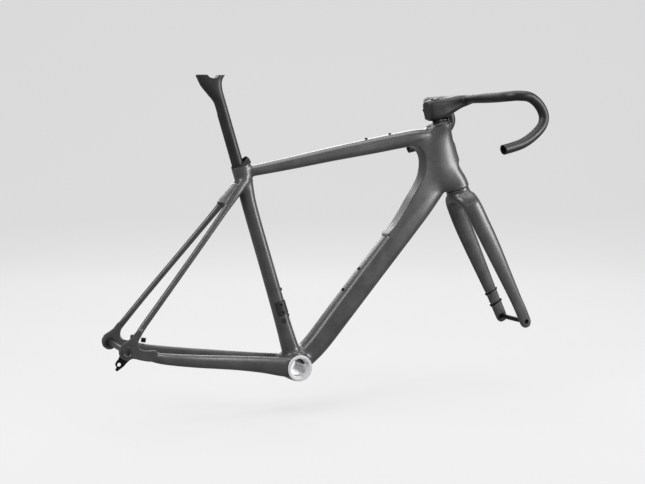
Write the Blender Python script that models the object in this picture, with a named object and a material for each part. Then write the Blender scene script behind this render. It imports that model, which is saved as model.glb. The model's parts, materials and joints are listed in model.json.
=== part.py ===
"""Gravel bicycle frameset: carbon frame, fork, headset, one-piece cockpit and seatpost.

+X points forward, +Y to the left (non-drive) side, +Z up. The origin is the centre of the
bottom bracket. Places are given as (x, z) in the frame's middle plane, or (x, y, z).
"""
import math

import bmesh
import bpy
from mathutils import Matrix, Vector

MM = 0.001
JOINT_GAP = 0.3 * MM          # glue line between bonded pieces
WALL = 2.2 * MM               # laminate thickness of the hollow tubes
TUBE_SIDES = 12               # facets round a tube
ROUND_SIDES = 16              # facets round a turned piece
SMALL_SIDES = 16              # facets round a small ring or screw
HOLLOW_SIDES = 8              # facets round the hollow in a tube
HEAD_SIDES = 16               # facets round the head tube and the fork crown
SCREW_SIDES = 8               # facets round a screw

# driving dimensions of the frame
CHAINSTAY_LENGTH = 422 * MM
BB_DROP = 73 * MM
FRONT_AXLE_X = 607.7 * MM
BB_WIDTH = 86.5 * MM
BB_BORE_RADIUS = 20.5 * MM
BB_SHELL_RADIUS = 30.5 * MM
REAR_HUB_WIDTH = 142 * MM
FRONT_HUB_WIDTH = 100 * MM
REAR_DROPOUT_THICKNESS = 5.4 * MM
AXLE_RADIUS = 6 * MM
SEAT_ANGLE = math.radians(73.5)
SEAT_TUBE_SETBACK = 5 * MM    # the seat tube's axis passes this far in front of the bottom bracket
SEATPOST_RADIUS = 13.6 * MM
HEAD_ANGLE = math.radians(71.7)
CROWN_X = 439 * MM            # steering axis at the lower end of the head tube
CROWN_Z = 408 * MM
HEAD_TUBE_LENGTH = 160 * MM
BOTTLE_BOSS_SPACING = 64 * MM

REAR_AXLE_X = -math.sqrt(CHAINSTAY_LENGTH ** 2 - BB_DROP ** 2)
REAR_AXLE = Vector((REAR_AXLE_X, 0, BB_DROP))
FRONT_AXLE = Vector((FRONT_AXLE_X, 0, BB_DROP))
SEAT_DIRECTION = Vector((-math.cos(SEAT_ANGLE), 0, math.sin(SEAT_ANGLE)))
STEER_DIRECTION = Vector((-math.cos(HEAD_ANGLE), 0, math.sin(HEAD_ANGLE)))
STEER_FORWARD = Vector((math.sin(HEAD_ANGLE), 0, math.cos(HEAD_ANGLE)))
CROWN = Vector((CROWN_X, 0, CROWN_Z))
X_AXIS = Vector((1, 0, 0))
Y_AXIS = Vector((0, 1, 0))
Z_AXIS = Vector((0, 0, 1))

PALETTE = {
    "carbon": ((0.060, 0.061, 0.063), 0.32, 0.0),
    "fork_carbon": ((0.055, 0.056, 0.058), 0.34, 0.0),
    "black_composite": ((0.022, 0.022, 0.023), 0.45, 0.0),
    "aluminium": ((0.80, 0.80, 0.81), 0.30, 1.0),
    "black_metal": ((0.020, 0.020, 0.021), 0.35, 0.9),
    "grey_metal": ((0.13, 0.13, 0.135), 0.35, 0.9),
    "steel": ((0.56, 0.56, 0.57), 0.25, 1.0),
    "rubber": ((0.010, 0.010, 0.010), 0.75, 0.0),
}


def clear_scene():
    for item in list(bpy.data.objects):
        bpy.data.objects.remove(item, do_unlink=True)


clear_scene()
PARTS = bpy.data.collections.new("bicycle_frame")
CUTTERS = bpy.data.collections.new("cutters")
bpy.context.scene.collection.children.link(PARTS)
bpy.context.scene.collection.children.link(CUTTERS)


# ---------------------------------------------------------------- helpers

def make_material(name, finish):
    colour, roughness, metallic = PALETTE[finish]
    material = bpy.data.materials.new(name + "_finish")
    material.use_nodes = True
    shader = material.node_tree.nodes["Principled BSDF"]
    shader.inputs["Base Color"].default_value = (*colour, 1.0)
    shader.inputs["Roughness"].default_value = roughness
    shader.inputs["Metallic"].default_value = metallic
    return material


def keep(name, mesh, finish, smooth_angle=40):
    """Make a mesh a named sub-part with its own material."""
    item = bpy.data.objects.new(name, mesh)
    PARTS.objects.link(item)
    mesh.materials.clear()
    mesh.materials.append(make_material(name, finish))
    mesh.shade_smooth()
    mesh.set_sharp_from_angle(angle=math.radians(smooth_angle))
    return item


def keep_cutter(name, mesh):
    item = bpy.data.objects.new(name + "_cutter", mesh)
    CUTTERS.objects.link(item)
    item.hide_render = True
    item.display_type = "WIRE"
    return item


def boolean(item, other, operation="DIFFERENCE", solver="EXACT"):
    modifier = item.modifiers.new(operation.lower(), "BOOLEAN")
    modifier.operation = operation
    modifier.solver = solver
    modifier.object = other


def cut(item, name, mesh, solver="EXACT"):
    boolean(item, keep_cutter(name, mesh), solver=solver)


def join(item, name, mesh):
    boolean(item, keep_cutter(name, mesh), "UNION")


def mesh_from(work, name):
    """Finish a bmesh: faces pointing out, then into a mesh datablock."""
    bmesh.ops.recalc_face_normals(work, faces=work.faces)
    bmesh.ops.triangulate(work, faces=work.faces)
    if work.calc_volume(signed=True) < 0:
        bmesh.ops.reverse_faces(work, faces=work.faces)
    mesh = bpy.data.meshes.new(name)
    work.to_mesh(mesh)
    work.free()
    return mesh


def side_point(x, z, y=0.0):
    """A place given in millimetres as (x, z) in the middle plane and a sideways y."""
    return Vector((x, y, z)) * MM


def station(x, z, width, depth, y=0.0, power=2.4):
    """One cross-section of a tube, in millimetres: its centre, full width (sideways),
    full depth (in the side view) and how square it is (2 is an ellipse)."""
    return (side_point(x, z, y), width * MM / 2, depth * MM / 2, power)


def superellipse(half_width, half_depth, power, sides):
    points = []
    for step in range(sides):
        angle = 2 * math.pi * (step + 0.5) / sides
        across = math.copysign(abs(math.cos(angle)) ** (2 / power), math.cos(angle))
        along = math.copysign(abs(math.sin(angle)) ** (2 / power), math.sin(angle))
        points.append((half_width * across, half_depth * along))
    return points


def loft(name, stations, grow=0.0, sides=TUBE_SIDES, reference=Y_AXIS, carried=False,
         first_tangent=None, last_tangent=None):
    """A closed tube through cross-sections of different shapes. The widths run along the
    reference axis as far as the path allows, or are carried along the path from there.
    grow swells it all round, and lengthens it at both ends. A given first or last tangent
    is square to that end's flat face."""
    centres = [entry[0].copy() for entry in stations]
    tangents = []
    for index in range(len(centres)):
        before = centres[max(index - 1, 0)]
        after = centres[min(index + 1, len(centres) - 1)]
        tangents.append((after - before).normalized())
    tangents[0] = first_tangent or tangents[0]
    tangents[-1] = last_tangent or tangents[-1]
    centres[0] -= tangents[0] * grow
    centres[-1] += tangents[-1] * grow
    work = bmesh.new()
    rings = []
    for centre, tangent, entry in zip(centres, tangents, stations):
        width_axis = (reference - tangent * tangent.dot(reference)).normalized()
        if carried:
            reference = width_axis
        depth_axis = tangent.cross(width_axis)
        outline = superellipse(entry[1] + grow, entry[2] + grow, entry[3], sides)
        ring = [work.verts.new(centre + width_axis * a + depth_axis * b) for a, b in outline]
        rings.append(ring)
    for lower, upper in zip(rings, rings[1:]):
        for index in range(sides):
            following = (index + 1) % sides
            work.faces.new((lower[index], lower[following], upper[following], upper[index]))
    work.faces.new(rings[0])
    work.faces.new(rings[-1])
    return mesh_from(work, name)


def refine(stations, steps=3):
    """Stations read from a smooth curve through the given ones."""
    fine = []
    count = len(stations)
    for index in range(count - 1):
        around = [stations[min(max(index + offset, 0), count - 1)] for offset in (-1, 0, 1, 2)]
        for step in range(steps):
            t = step / steps
            weights = (
                -0.5 * t + t ** 2 - 0.5 * t ** 3,
                1 - 2.5 * t ** 2 + 1.5 * t ** 3,
                0.5 * t + 2 * t ** 2 - 1.5 * t ** 3,
                -0.5 * t ** 2 + 0.5 * t ** 3,
            )
            centre = Vector((0, 0, 0))
            for weight, entry in zip(weights, around):
                centre += entry[0] * weight
            sizes = [sum(w * entry[k] for w, entry in zip(weights, around)) for k in (1, 2, 3)]
            fine.append((centre, *sizes))
    fine.append(stations[-1])
    return fine


def inner(stations, overshoot=12 * MM, wall=WALL):
    """The hollow inside a tube: a wall smaller, and past its ends."""
    shrunk = [(c, w - wall, d - wall, p) for c, w, d, p in stations]
    first = (shrunk[0][0] - shrunk[1][0]).normalized() * overshoot
    last = (shrunk[-1][0] - shrunk[-2][0]).normalized() * overshoot
    start = (shrunk[0][0] + first, *shrunk[0][1:])
    end = (shrunk[-1][0] + last, *shrunk[-1][1:])
    return [start, *shrunk, end]


def turned(name, profile, axis_point, axis, sides=ROUND_SIDES, grow=0.0):
    """A turned solid: profile is (distance along the axis, radius) in metres."""
    work = bmesh.new()
    turn = axis.normalized().to_track_quat("Z", "Y").to_matrix()
    rings = []
    for along, radius in profile:
        ring = []
        for step in range(sides):
            angle = 2 * math.pi * (step + 0.5) / sides
            local = Vector(((radius + grow) * math.cos(angle), (radius + grow) * math.sin(angle), along))
            ring.append(work.verts.new(axis_point + turn @ local))
        rings.append(ring)
    for lower, upper in zip(rings, rings[1:]):
        for index in range(sides):
            following = (index + 1) % sides
            work.faces.new((lower[index], lower[following], upper[following], upper[index]))
    work.faces.new(rings[0])
    work.faces.new(rings[-1])
    return mesh_from(work, name)


def ring_solid(name, profile, axis_point, axis, sides=ROUND_SIDES):
    """A ring: a closed outline of (distance along the axis, radius) turned right round."""
    work = bmesh.new()
    turn = axis.normalized().to_track_quat("Z", "Y").to_matrix()
    loops = []
    for step in range(sides):
        angle = 2 * math.pi * (step + 0.5) / sides
        loop = []
        for along, radius in profile:
            local = Vector((radius * math.cos(angle), radius * math.sin(angle), along))
            loop.append(work.verts.new(axis_point + turn @ local))
        loops.append(loop)
    count = len(profile)
    for step in range(sides):
        near, far = loops[step], loops[(step + 1) % sides]
        for index in range(count):
            following = (index + 1) % count
            work.faces.new((near[index], near[following], far[following], far[index]))
    return mesh_from(work, name)


def cylinder(name, centre, axis, radius, length, sides=ROUND_SIDES, grow=0.0):
    """A cylinder whose middle is at centre."""
    half = length / 2 + grow
    return turned(name, [(-half, radius), (half, radius)], centre, axis, sides, grow)


def block(name, centre, size, turn=None, grow=0.0, bevel=0.0):
    """A box, turned by a matrix about its centre."""
    work = bmesh.new()
    bmesh.ops.create_cube(work, size=1.0)
    for vertex in work.verts:
        vertex.co = Vector([a * (b + 2 * grow) for a, b in zip(vertex.co, size)])
    if bevel:
        bmesh.ops.bevel(work, geom=work.edges[:], offset=bevel, segments=2, affect="EDGES", profile=0.5)
    matrix = Matrix.Translation(centre) @ (turn.to_4x4() if turn else Matrix.Identity(4))
    bmesh.ops.transform(work, matrix=matrix, verts=work.verts)
    return mesh_from(work, name)


def swollen(outline, grow):
    """A closed outline moved outwards by grow, whichever way round it runs."""
    count = len(outline)
    points = [Vector(point) for point in outline]
    area = sum(points[i - 1].x * points[i].y - points[i].x * points[i - 1].y for i in range(count))
    way = math.copysign(grow, area)
    moved = []
    for index in range(count):
        along = points[(index + 1) % count] - points[index - 1]
        moved.append(points[index] + Vector((along.y, -along.x)).normalized() * way)
    return moved


def plate(name, outline, y_low, y_high, grow=0.0):
    """A flat outline of (x, z) points in metres, extruded sideways from y_low to y_high."""
    work = bmesh.new()
    rings = []
    for y in (y_low - grow, y_high + grow):
        rings.append([work.verts.new((point.x, y, point.y)) for point in swollen(outline, grow)])
    count = len(outline)
    for index in range(count):
        following = (index + 1) % count
        work.faces.new((rings[0][index], rings[0][following], rings[1][following], rings[1][index]))
    work.faces.new(rings[0])
    work.faces.new(rings[1])
    return mesh_from(work, name)


def smooth_outline(points, steps=4):
    """A closed outline through the given points, in millimetres, as metres."""
    fine = []
    count = len(points)
    for index in range(count):
        a, b, c, d = [Vector(points[(index + offset) % count]) for offset in (-1, 0, 1, 2)]
        for step in range(steps):
            t = step / steps
            point = (2 * b + (c - a) * t + (2 * a - 5 * b + 4 * c - d) * t ** 2
                     + (3 * b - a - 3 * c + d) * t ** 3) / 2
            fine.append((point.x * MM, point.y * MM))
    return fine


def steer_point(along, forward=0.0, y=0.0):
    """A place in millimetres along the steering axis from the crown, forward of it, and sideways."""
    return CROWN + STEER_DIRECTION * along * MM + STEER_FORWARD * forward * MM + Y_AXIS * y * MM


def seat_point(along, forward=0.0, y=0.0):
    """A place in millimetres along the seat tube's axis from bottom-bracket height."""
    start = Vector((SEAT_TUBE_SETBACK, 0, 0))
    forward_axis = Vector((math.sin(SEAT_ANGLE), 0, math.cos(SEAT_ANGLE)))
    return start + SEAT_DIRECTION * along * MM + forward_axis * forward * MM + Y_AXIS * y * MM


def steer_station(along, forward, width, depth, y=0.0, power=2.3):
    return (steer_point(along, forward, y), width * MM / 2, depth * MM / 2, power)


def head_station(along, front, rear, width):
    """A section of the head tube, from its front to the rear of the gusset behind it."""
    return steer_station(along, (front + rear) / 2, width, front - rear)


def seat_station(along, forward, width, depth, power=2.2):
    return (seat_point(along, forward), width * MM / 2, depth * MM / 2, power)


# ---------------------------------------------------------------- shapes that neighbours share

HEAD_TUBE_STATIONS = [
    head_station(0, 29.5, -29.5, 58),
    head_station(16, 28.4, -32, 54),
    head_station(38, 27.0, -64, 48),
    head_station(57, 26.0, -78, 46),
    head_station(77, 25.5, -75, 45),
    head_station(98, 25.5, -71, 45),
    head_station(122, 26.0, -65, 46),
    head_station(142, 27.0, -48, 48),
    head_station(HEAD_TUBE_LENGTH / MM, 28, -30, 53),
]
SEAT_TUBE_STATIONS = [
    seat_station(20, 0, 44, 42, 2.6),
    seat_station(60, 0, 39, 38, 2.5),
    seat_station(120, 0, 34, 35),
    seat_station(220, 0, 33, 33),
    seat_station(380, 0, 33, 33),
    seat_station(440, 3, 34, 38),
    seat_station(486, 6.5, 34, 46),
]
LUG_HALF_WIDTH = BB_WIDTH / MM / 2 - 2
BB_LUG_STATIONS = [
    station(0, 0, 61, 61, y=-LUG_HALF_WIDTH, power=2),
    station(0, 0, 64, 64, y=-30, power=2),
    station(0, 0, 66, 66, y=0, power=2),
    station(0, 0, 64, 64, y=30, power=2),
    station(0, 0, 61, 61, y=LUG_HALF_WIDTH, power=2),
]
TOP_TUBE_STATIONS = [
    station(-128, 452, 26, 23),
    station(-90, 457.2, 31, 25),
    station(0, 473.5, 34, 29),
    station(100, 492.7, 37, 32.8),
    station(200, 510.5, 39, 36.8, power=2.6),
    station(280, 524.8, 43, 38, power=2.6),
    station(325, 532, 44, 38, power=2.5),
    station(356, 536, 38, 28, power=2.3),
]
DOWN_TUBE_STATIONS = [
    station(6, 2, 54, 50),
    station(57, 46, 52, 54, power=2.6),
    station(116, 113, 50, 56, power=2.6),
    station(196, 205, 49, 57, power=2.6),
    station(296, 319, 48, 57, power=2.6),
    station(342, 371, 44, 57, power=2.5),
    station(372, 405, 34, 50, power=2.3),
]


def stay_stations(side, entries):
    """Stations given for the left side, mirrored for the right one (side is +1 or -1)."""
    return refine([(Vector((c.x, c.y * side, c.z)), w, d, p) for c, w, d, p in entries], 2)


# Outline of a rear dropout in the side view: the seatstay's foot, the bay between the
# stays, the chainstay's foot and the boss round the axle.
DROPOUT_OUTLINE = [
    (-386, 121), (-382, 113), (-387, 104), (-391, 95), (-391, 85), (-384, 77), (-372, 74),
    (-352, 72), (-352, 52), (-366, 50), (-385, 54), (-403, 59), (-414, 56), (-424, 58),
    (-432, 66), (-434, 79), (-428, 90), (-417, 97), (-407, 104), (-396, 116),
]


def chainstay_entries(foot_y):
    return [
        station(-8, 0, 19, 46, y=31),
        station(-40, 5, 19, 44, y=31.5),
        station(-90, 14, 18, 37, y=34, power=2.5),
        station(-160, 25, 18, 32, y=41, power=2.5),
        station(-260, 39, 17, 28, y=56, power=2.5),
        station(-335, 52, 14, 24, y=66, power=2.5),
        station(-376, 65, 4.4, 19, y=foot_y),
    ]


def seatstay_entries(foot_y):
    return [
        station(-392, 108, 4.4, 15, y=foot_y),
        station(-377, 127, 12, 13.5, y=70),
        station(-328, 186, 13, 12.5, y=61.5),
        station(-238, 293, 13, 12.5, y=42),
        station(-180, 363, 14, 14, y=28),
        station(-146, 405, 15, 19, y=20),
        station(-120, 436, 13, 20, y=13),
    ]


def bottom_bracket_form(grow=0.0):
    return loft("bottom_bracket_form", BB_LUG_STATIONS, grow, ROUND_SIDES, X_AXIS)


def head_tube_form(grow=0.0):
    return loft("head_tube_form", HEAD_TUBE_STATIONS, grow, HEAD_SIDES,
                first_tangent=STEER_DIRECTION, last_tangent=STEER_DIRECTION)


def seat_tube_form(grow=0.0):
    return loft("seat_tube_form", SEAT_TUBE_STATIONS, grow,
                first_tangent=SEAT_DIRECTION, last_tangent=SEAT_DIRECTION)


def add_head_tube():
    tube = keep("head_tube", head_tube_form(), "carbon")
    length = HEAD_TUBE_LENGTH / MM
    bore = [(-5, 26.2), (9, 26.2), (12, 19.2), (44, 17.2), (length - 12, 17.2), (length - 8, 21.2), (length + 5, 21.2)]
    cut(tube, "head_tube_bore", turned("bore", [(a * MM, r * MM) for a, r in bore], CROWN, STEER_DIRECTION))


def add_seat_tube():
    tube = keep("seat_tube", seat_tube_form(), "carbon")
    cut(tube, "seat_tube_foot", bottom_bracket_form(JOINT_GAP))
    bore_radius = SEATPOST_RADIUS + JOINT_GAP
    cut(tube, "seatpost_bore", turned("bore", [(-480 * MM, bore_radius), (5 * MM, bore_radius)],
                                     seat_point(486), SEAT_DIRECTION, grow=0))
    pocket_centre = seat_point(486 - 20, 17.5)
    cut(tube, "wedge_pocket", block("pocket", pocket_centre, (13 * MM, 14.6 * MM, 46 * MM), seat_turn()))


def seat_turn():
    """Turns a box so that its Z runs up the seat tube and its X points forward."""
    return Matrix.Rotation(-(math.pi / 2 - SEAT_ANGLE), 3, "Y")


def steer_turn():
    """Turns a box so that its Z runs up the steering axis and its X points forward."""
    return Matrix.Rotation(-(math.pi / 2 - HEAD_ANGLE), 3, "Y")


def add_bottom_bracket():
    lug = keep("bottom_bracket_lug", bottom_bracket_form(), "carbon")
    shell_radius = BB_SHELL_RADIUS - 3.5 * MM
    cut(lug, "lug_bore", cylinder("bore", Vector((0, 0, 0)), Y_AXIS, shell_radius + JOINT_GAP, BB_WIDTH + 10 * MM))
    half = BB_WIDTH / 2
    face = half
    shoulder = LUG_HALF_WIDTH * MM + JOINT_GAP
    rim_radius = BB_SHELL_RADIUS - JOINT_GAP
    recess_radius = BB_BORE_RADIUS + 2.5 * MM
    recess_floor = half - 10 * MM
    outline = [(-face, recess_radius), (-face, rim_radius), (-shoulder, rim_radius), (-shoulder, shell_radius),
               (shoulder, shell_radius), (shoulder, rim_radius), (face, rim_radius), (face, recess_radius),
               (recess_floor, recess_radius), (recess_floor, BB_BORE_RADIUS),
               (-recess_floor, BB_BORE_RADIUS), (-recess_floor, recess_radius)]
    keep("bottom_bracket_shell", ring_solid("shell", outline, Vector((0, 0, 0)), Y_AXIS), "aluminium")


def add_top_tube():
    tube = keep("top_tube", loft("top_tube", TOP_TUBE_STATIONS), "carbon")
    cut(tube, "top_tube_front", head_tube_form(JOINT_GAP))
    cut(tube, "top_tube_rear", seat_tube_form(JOINT_GAP))
    cut(tube, "top_tube_hollow", loft("hollow", inner(TOP_TUBE_STATIONS), sides=HOLLOW_SIDES))


def add_down_tube():
    tube = keep("down_tube", loft("down_tube", DOWN_TUBE_STATIONS), "carbon")
    cut(tube, "down_tube_front", head_tube_form(JOINT_GAP))
    cut(tube, "down_tube_foot", bottom_bracket_form(JOINT_GAP))
    cut(tube, "down_tube_seat_side", seat_tube_form(JOINT_GAP))
    cut(tube, "down_tube_hollow", loft("hollow", inner(DOWN_TUBE_STATIONS), sides=HOLLOW_SIDES))


def add_screw(name, seat, direction, hosts, head_radius, head_height, shank_radius, shank_length,
              finish="black_metal", sides=SCREW_SIDES):
    """A button-head screw whose head rests at seat and whose shank runs into the hosts."""
    profile = [(-shank_length, shank_radius), (JOINT_GAP, shank_radius), (JOINT_GAP, head_radius),
               (head_height * 0.6, head_radius), (head_height, head_radius * 0.6)]
    keep(name, turned(name, profile, seat, direction, sides), finish)
    clearance = [(-shank_length - JOINT_GAP, shank_radius + JOINT_GAP),
                 (4 * MM, shank_radius + JOINT_GAP)]
    for host in hosts:
        cut(bpy.data.objects[host], name + "_hole", turned("hole", clearance, seat, direction, sides), "MANIFOLD")


def add_rear_end():
    for side, label in ((1, "left"), (-1, "right")):
        y_low, y_high = DROPOUT_FACES[label]
        foot_y = (y_low + y_high) / 2 / MM * side
        outline = smooth_outline(DROPOUT_OUTLINE, 1)
        dropout = keep("rear_dropout_" + label, plate("dropout", outline, y_low, y_high), "carbon")
        hole_radius = AXLE_RADIUS if side > 0 else HANGER_BOLT_RADIUS
        cut(dropout, "rear_axle_hole_" + label,
            cylinder("hole", REAR_AXLE + Y_AXIS * y_low, Y_AXIS, hole_radius + JOINT_GAP, 30 * MM))

        chain = stay_stations(side, chainstay_entries(foot_y))
        chainstay = keep("chainstay_" + label, loft("chainstay", chain), "carbon")
        cut(chainstay, "chainstay_lug_" + label, bottom_bracket_form(JOINT_GAP))
        cut(chainstay, "chainstay_foot_" + label, plate("foot", outline, y_low, y_high, JOINT_GAP))

        seat = stay_stations(side, seatstay_entries(foot_y))
        seatstay = keep("seatstay_" + label, loft("seatstay", seat, sides=10), "carbon")
        cut(seatstay, "seatstay_foot_" + label, plate("foot", outline, y_low, y_high, JOINT_GAP))
        cut(seatstay, "seatstay_top_" + label, seat_tube_form(JOINT_GAP))
        cut(seatstay, "seatstay_tube_" + label, loft("tube", TOP_TUBE_STATIONS, JOINT_GAP))


def add_seatstay_bridge():
    bridge = keep("seatstay_bridge", loft("bridge", BRIDGE_STATIONS, sides=10), "carbon")
    cut(bridge, "bridge_rear", seat_tube_form(JOINT_GAP))
    for side, label in ((1, "left"), (-1, "right")):
        stay = stay_stations(side, seatstay_entries(74))
        cut(bridge, "bridge_side_" + label, loft("side", stay, JOINT_GAP, 10))


def add_hub_seat(name, centre, host):
    """A flat ring let flush into the inner face of a left dropout, where the hub bears."""
    bore = AXLE_RADIUS + JOINT_GAP
    ring = [(0, bore), (0, HUB_SEAT_RADIUS), (1.2 * MM, HUB_SEAT_RADIUS), (1.2 * MM, bore)]
    keep(name, ring_solid("seat", ring, centre, Y_AXIS, SMALL_SIDES), "black_composite")
    pocket = [(-3 * MM, HUB_SEAT_RADIUS + JOINT_GAP), (1.2 * MM + JOINT_GAP, HUB_SEAT_RADIUS + JOINT_GAP)]
    cut(bpy.data.objects[host], name + "_pocket", turned("pocket", pocket, centre, Y_AXIS, SMALL_SIDES), "MANIFOLD")


def add_rear_axle_set():
    """The thru-axle comes in from the left and screws into the hanger, which a flanged bolt
    holds against the right dropout."""
    left_face = DROPOUT_FACES["left"][1]
    right_low, right_high = DROPOUT_FACES["right"]
    hanger_low = right_high + JOINT_GAP
    hanger_high = -REAR_HUB_WIDTH / 2
    outline = smooth_outline(HANGER_OUTLINE, 2)
    hanger = keep("derailleur_hanger", plate("hanger", outline, hanger_low, hanger_high), "black_metal")
    cut(hanger, "hanger_axle_thread",
        cylinder("thread", REAR_AXLE + Y_AXIS * hanger_low, Y_AXIS, HANGER_BOLT_RADIUS + JOINT_GAP, 30 * MM))
    cut(hanger, "derailleur_thread",
        cylinder("thread", side_point(*DERAILLEUR_HOLE, hanger_low / MM), Y_AXIS, 4.2 * MM, 30 * MM))
    bolt_profile = [(0, 4 * MM), (0, HANGER_BOLT_RADIUS + 4 * MM), (1.8 * MM, HANGER_BOLT_RADIUS + 4 * MM),
                    (1.8 * MM, HANGER_BOLT_RADIUS), (8.6 * MM, HANGER_BOLT_RADIUS),
                    (8.6 * MM, AXLE_RADIUS + JOINT_GAP), (4 * MM, AXLE_RADIUS + JOINT_GAP), (4 * MM, 4 * MM)]
    bolt_start = REAR_AXLE + Y_AXIS * (right_low - JOINT_GAP - 1.8 * MM)
    keep("hanger_bolt", ring_solid("hanger_bolt", bolt_profile, bolt_start, Y_AXIS), "grey_metal")
    axle_start = bolt_start.y + 4.6 * MM
    head_start = left_face + JOINT_GAP
    axle = [(axle_start, AXLE_RADIUS), (head_start, AXLE_RADIUS), (head_start, AXLE_RADIUS + 3 * MM),
            (head_start + 2.4 * MM, AXLE_RADIUS + 2.4 * MM)]
    rear_axle = keep("rear_thru_axle", turned("rear_thru_axle", axle, Vector((REAR_AXLE_X, 0, BB_DROP)), Y_AXIS),
                     "grey_metal")
    cut(rear_axle, "rear_axle_key", cylinder("key", Vector((REAR_AXLE_X, head_start, BB_DROP)), Y_AXIS,
                                            3 * MM, 14 * MM, 6))
    add_hub_seat("rear_hub_seat_left", REAR_AXLE + Y_AXIS * REAR_HUB_WIDTH / 2, "rear_dropout_left")


def add_front_axle_set():
    half = FRONT_HUB_WIDTH / 2
    head_start = half + FORK_TIP_THICKNESS + JOINT_GAP
    axle = [(-half - 6 * MM, AXLE_RADIUS), (head_start, AXLE_RADIUS), (head_start, AXLE_RADIUS + 3 * MM),
            (head_start + 2.4 * MM, AXLE_RADIUS + 2.4 * MM)]
    front_axle = keep("front_thru_axle", turned("front_thru_axle", axle, FRONT_AXLE, Y_AXIS), "black_metal")
    cut(front_axle, "front_axle_key",
        cylinder("key", FRONT_AXLE + Y_AXIS * head_start, Y_AXIS, 3 * MM, 14 * MM, 6))
    add_hub_seat("front_hub_seat_left", FRONT_AXLE + Y_AXIS * half, "fork_blade_left")


def add_fork():
    crown = keep("fork_crown", crown_form(), "fork_carbon")
    race_seat = turned("seat", [(-24 * MM, 27 * MM), (-6 * MM, 28.5 * MM), (-1 * MM, 28.5 * MM)], CROWN,
                       STEER_DIRECTION, HEAD_SIDES)
    join(crown, "crown_race_seat", race_seat)
    cut(crown, "steerer_socket", turned("socket", [(-26 * MM, 18.1 * MM), (3 * MM, 18.1 * MM)], CROWN,
                                       STEER_DIRECTION))
    for side, label in ((1, "left"), (-1, "right")):
        blade = keep("fork_blade_" + label, blade_form(side), "fork_carbon")
        hole = FRONT_AXLE + Y_AXIS * side * FRONT_HUB_WIDTH / 2
        face_cutter = cylinder("face", hole - Y_AXIS * side * 5 * MM, Y_AXIS, FORK_TIP_RADIUS, 10 * MM)
        cut(blade, "front_hub_face_" + label, face_cutter)
        cut(blade, "front_axle_hole_" + label, cylinder("hole", hole, Y_AXIS, AXLE_RADIUS + JOINT_GAP, 60 * MM))
    tube = [(-25.5, 17.8), (14, 17.8), (40, 14.3), (221, 14.3)]
    steerer = keep("steerer_tube", turned("steerer", [(a * MM, r * MM) for a, r in tube], CROWN, STEER_DIRECTION),
                   "black_composite")
    hollow = [(-30, 11.5), (225, 11.5)]
    cut(steerer, "steerer_hollow", turned("hollow", [(a * MM, r * MM) for a, r in hollow], CROWN, STEER_DIRECTION))


def add_headset():
    rings = {
        "crown_race": ("black_metal", [(-0.6, 18.2), (-0.6, 24.5), (0.4, 24.5), (1.6, 21.0), (1.6, 18.2)]),
        "lower_bearing_inner_race": ("steel", [(2, 18.2), (2, 20.4), (8.6, 20.4), (8.6, 18.2)]),
        "lower_bearing_outer_race": ("steel", [(2, 23.6), (2, 25.8), (8.6, 25.8), (8.6, 23.6)]),
        "upper_bearing_inner_race": ("steel", [(152.4, 14.7), (152.4, 16.4), (158.6, 16.4), (158.6, 14.7)]),
        "upper_bearing_outer_race": ("steel", [(152.4, 19.1), (152.4, 20.8), (158.6, 20.8), (158.6, 19.1)]),
        "compression_ring": ("aluminium", [(159.0, 14.7), (159.0, 17.4), (162.0, 16.4), (162.0, 14.7)]),
    }
    for name, (finish, profile) in rings.items():
        metres = [(along * MM, radius * MM) for along, radius in profile]
        keep(name, ring_solid(name, metres, CROWN, STEER_DIRECTION, SMALL_SIDES), finish)
    for name, along, radius, ball in (("lower_ball_ring", 5.3, 22.0, 1.2), ("upper_ball_ring", 155.5, 17.75, 1.0)):
        circle = []
        for step in range(6):
            angle = 2 * math.pi * step / 6
            circle.append(((along + ball * math.sin(angle)) * MM, (radius + ball * math.cos(angle)) * MM))
        keep(name, ring_solid(name, circle, CROWN, STEER_DIRECTION, SMALL_SIDES), "steel")
    cover = keep("headset_cover", loft("cover", [
        steer_station(160.4, -3.5, 50, 62, power=2.1),
        steer_station(164, -4.5, 48, 63, power=2.1),
        steer_station(169.6, -4.5, 40, 56, power=2.1),
    ], first_tangent=STEER_DIRECTION, last_tangent=STEER_DIRECTION), "black_composite")
    bore = [(155, 18), (162.4, 18), (162.4, 14.7), (175, 14.7)]
    cut(cover, "cover_bore", turned("bore", [(a * MM, r * MM) for a, r in bore], CROWN, STEER_DIRECTION),
        "MANIFOLD")


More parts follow.
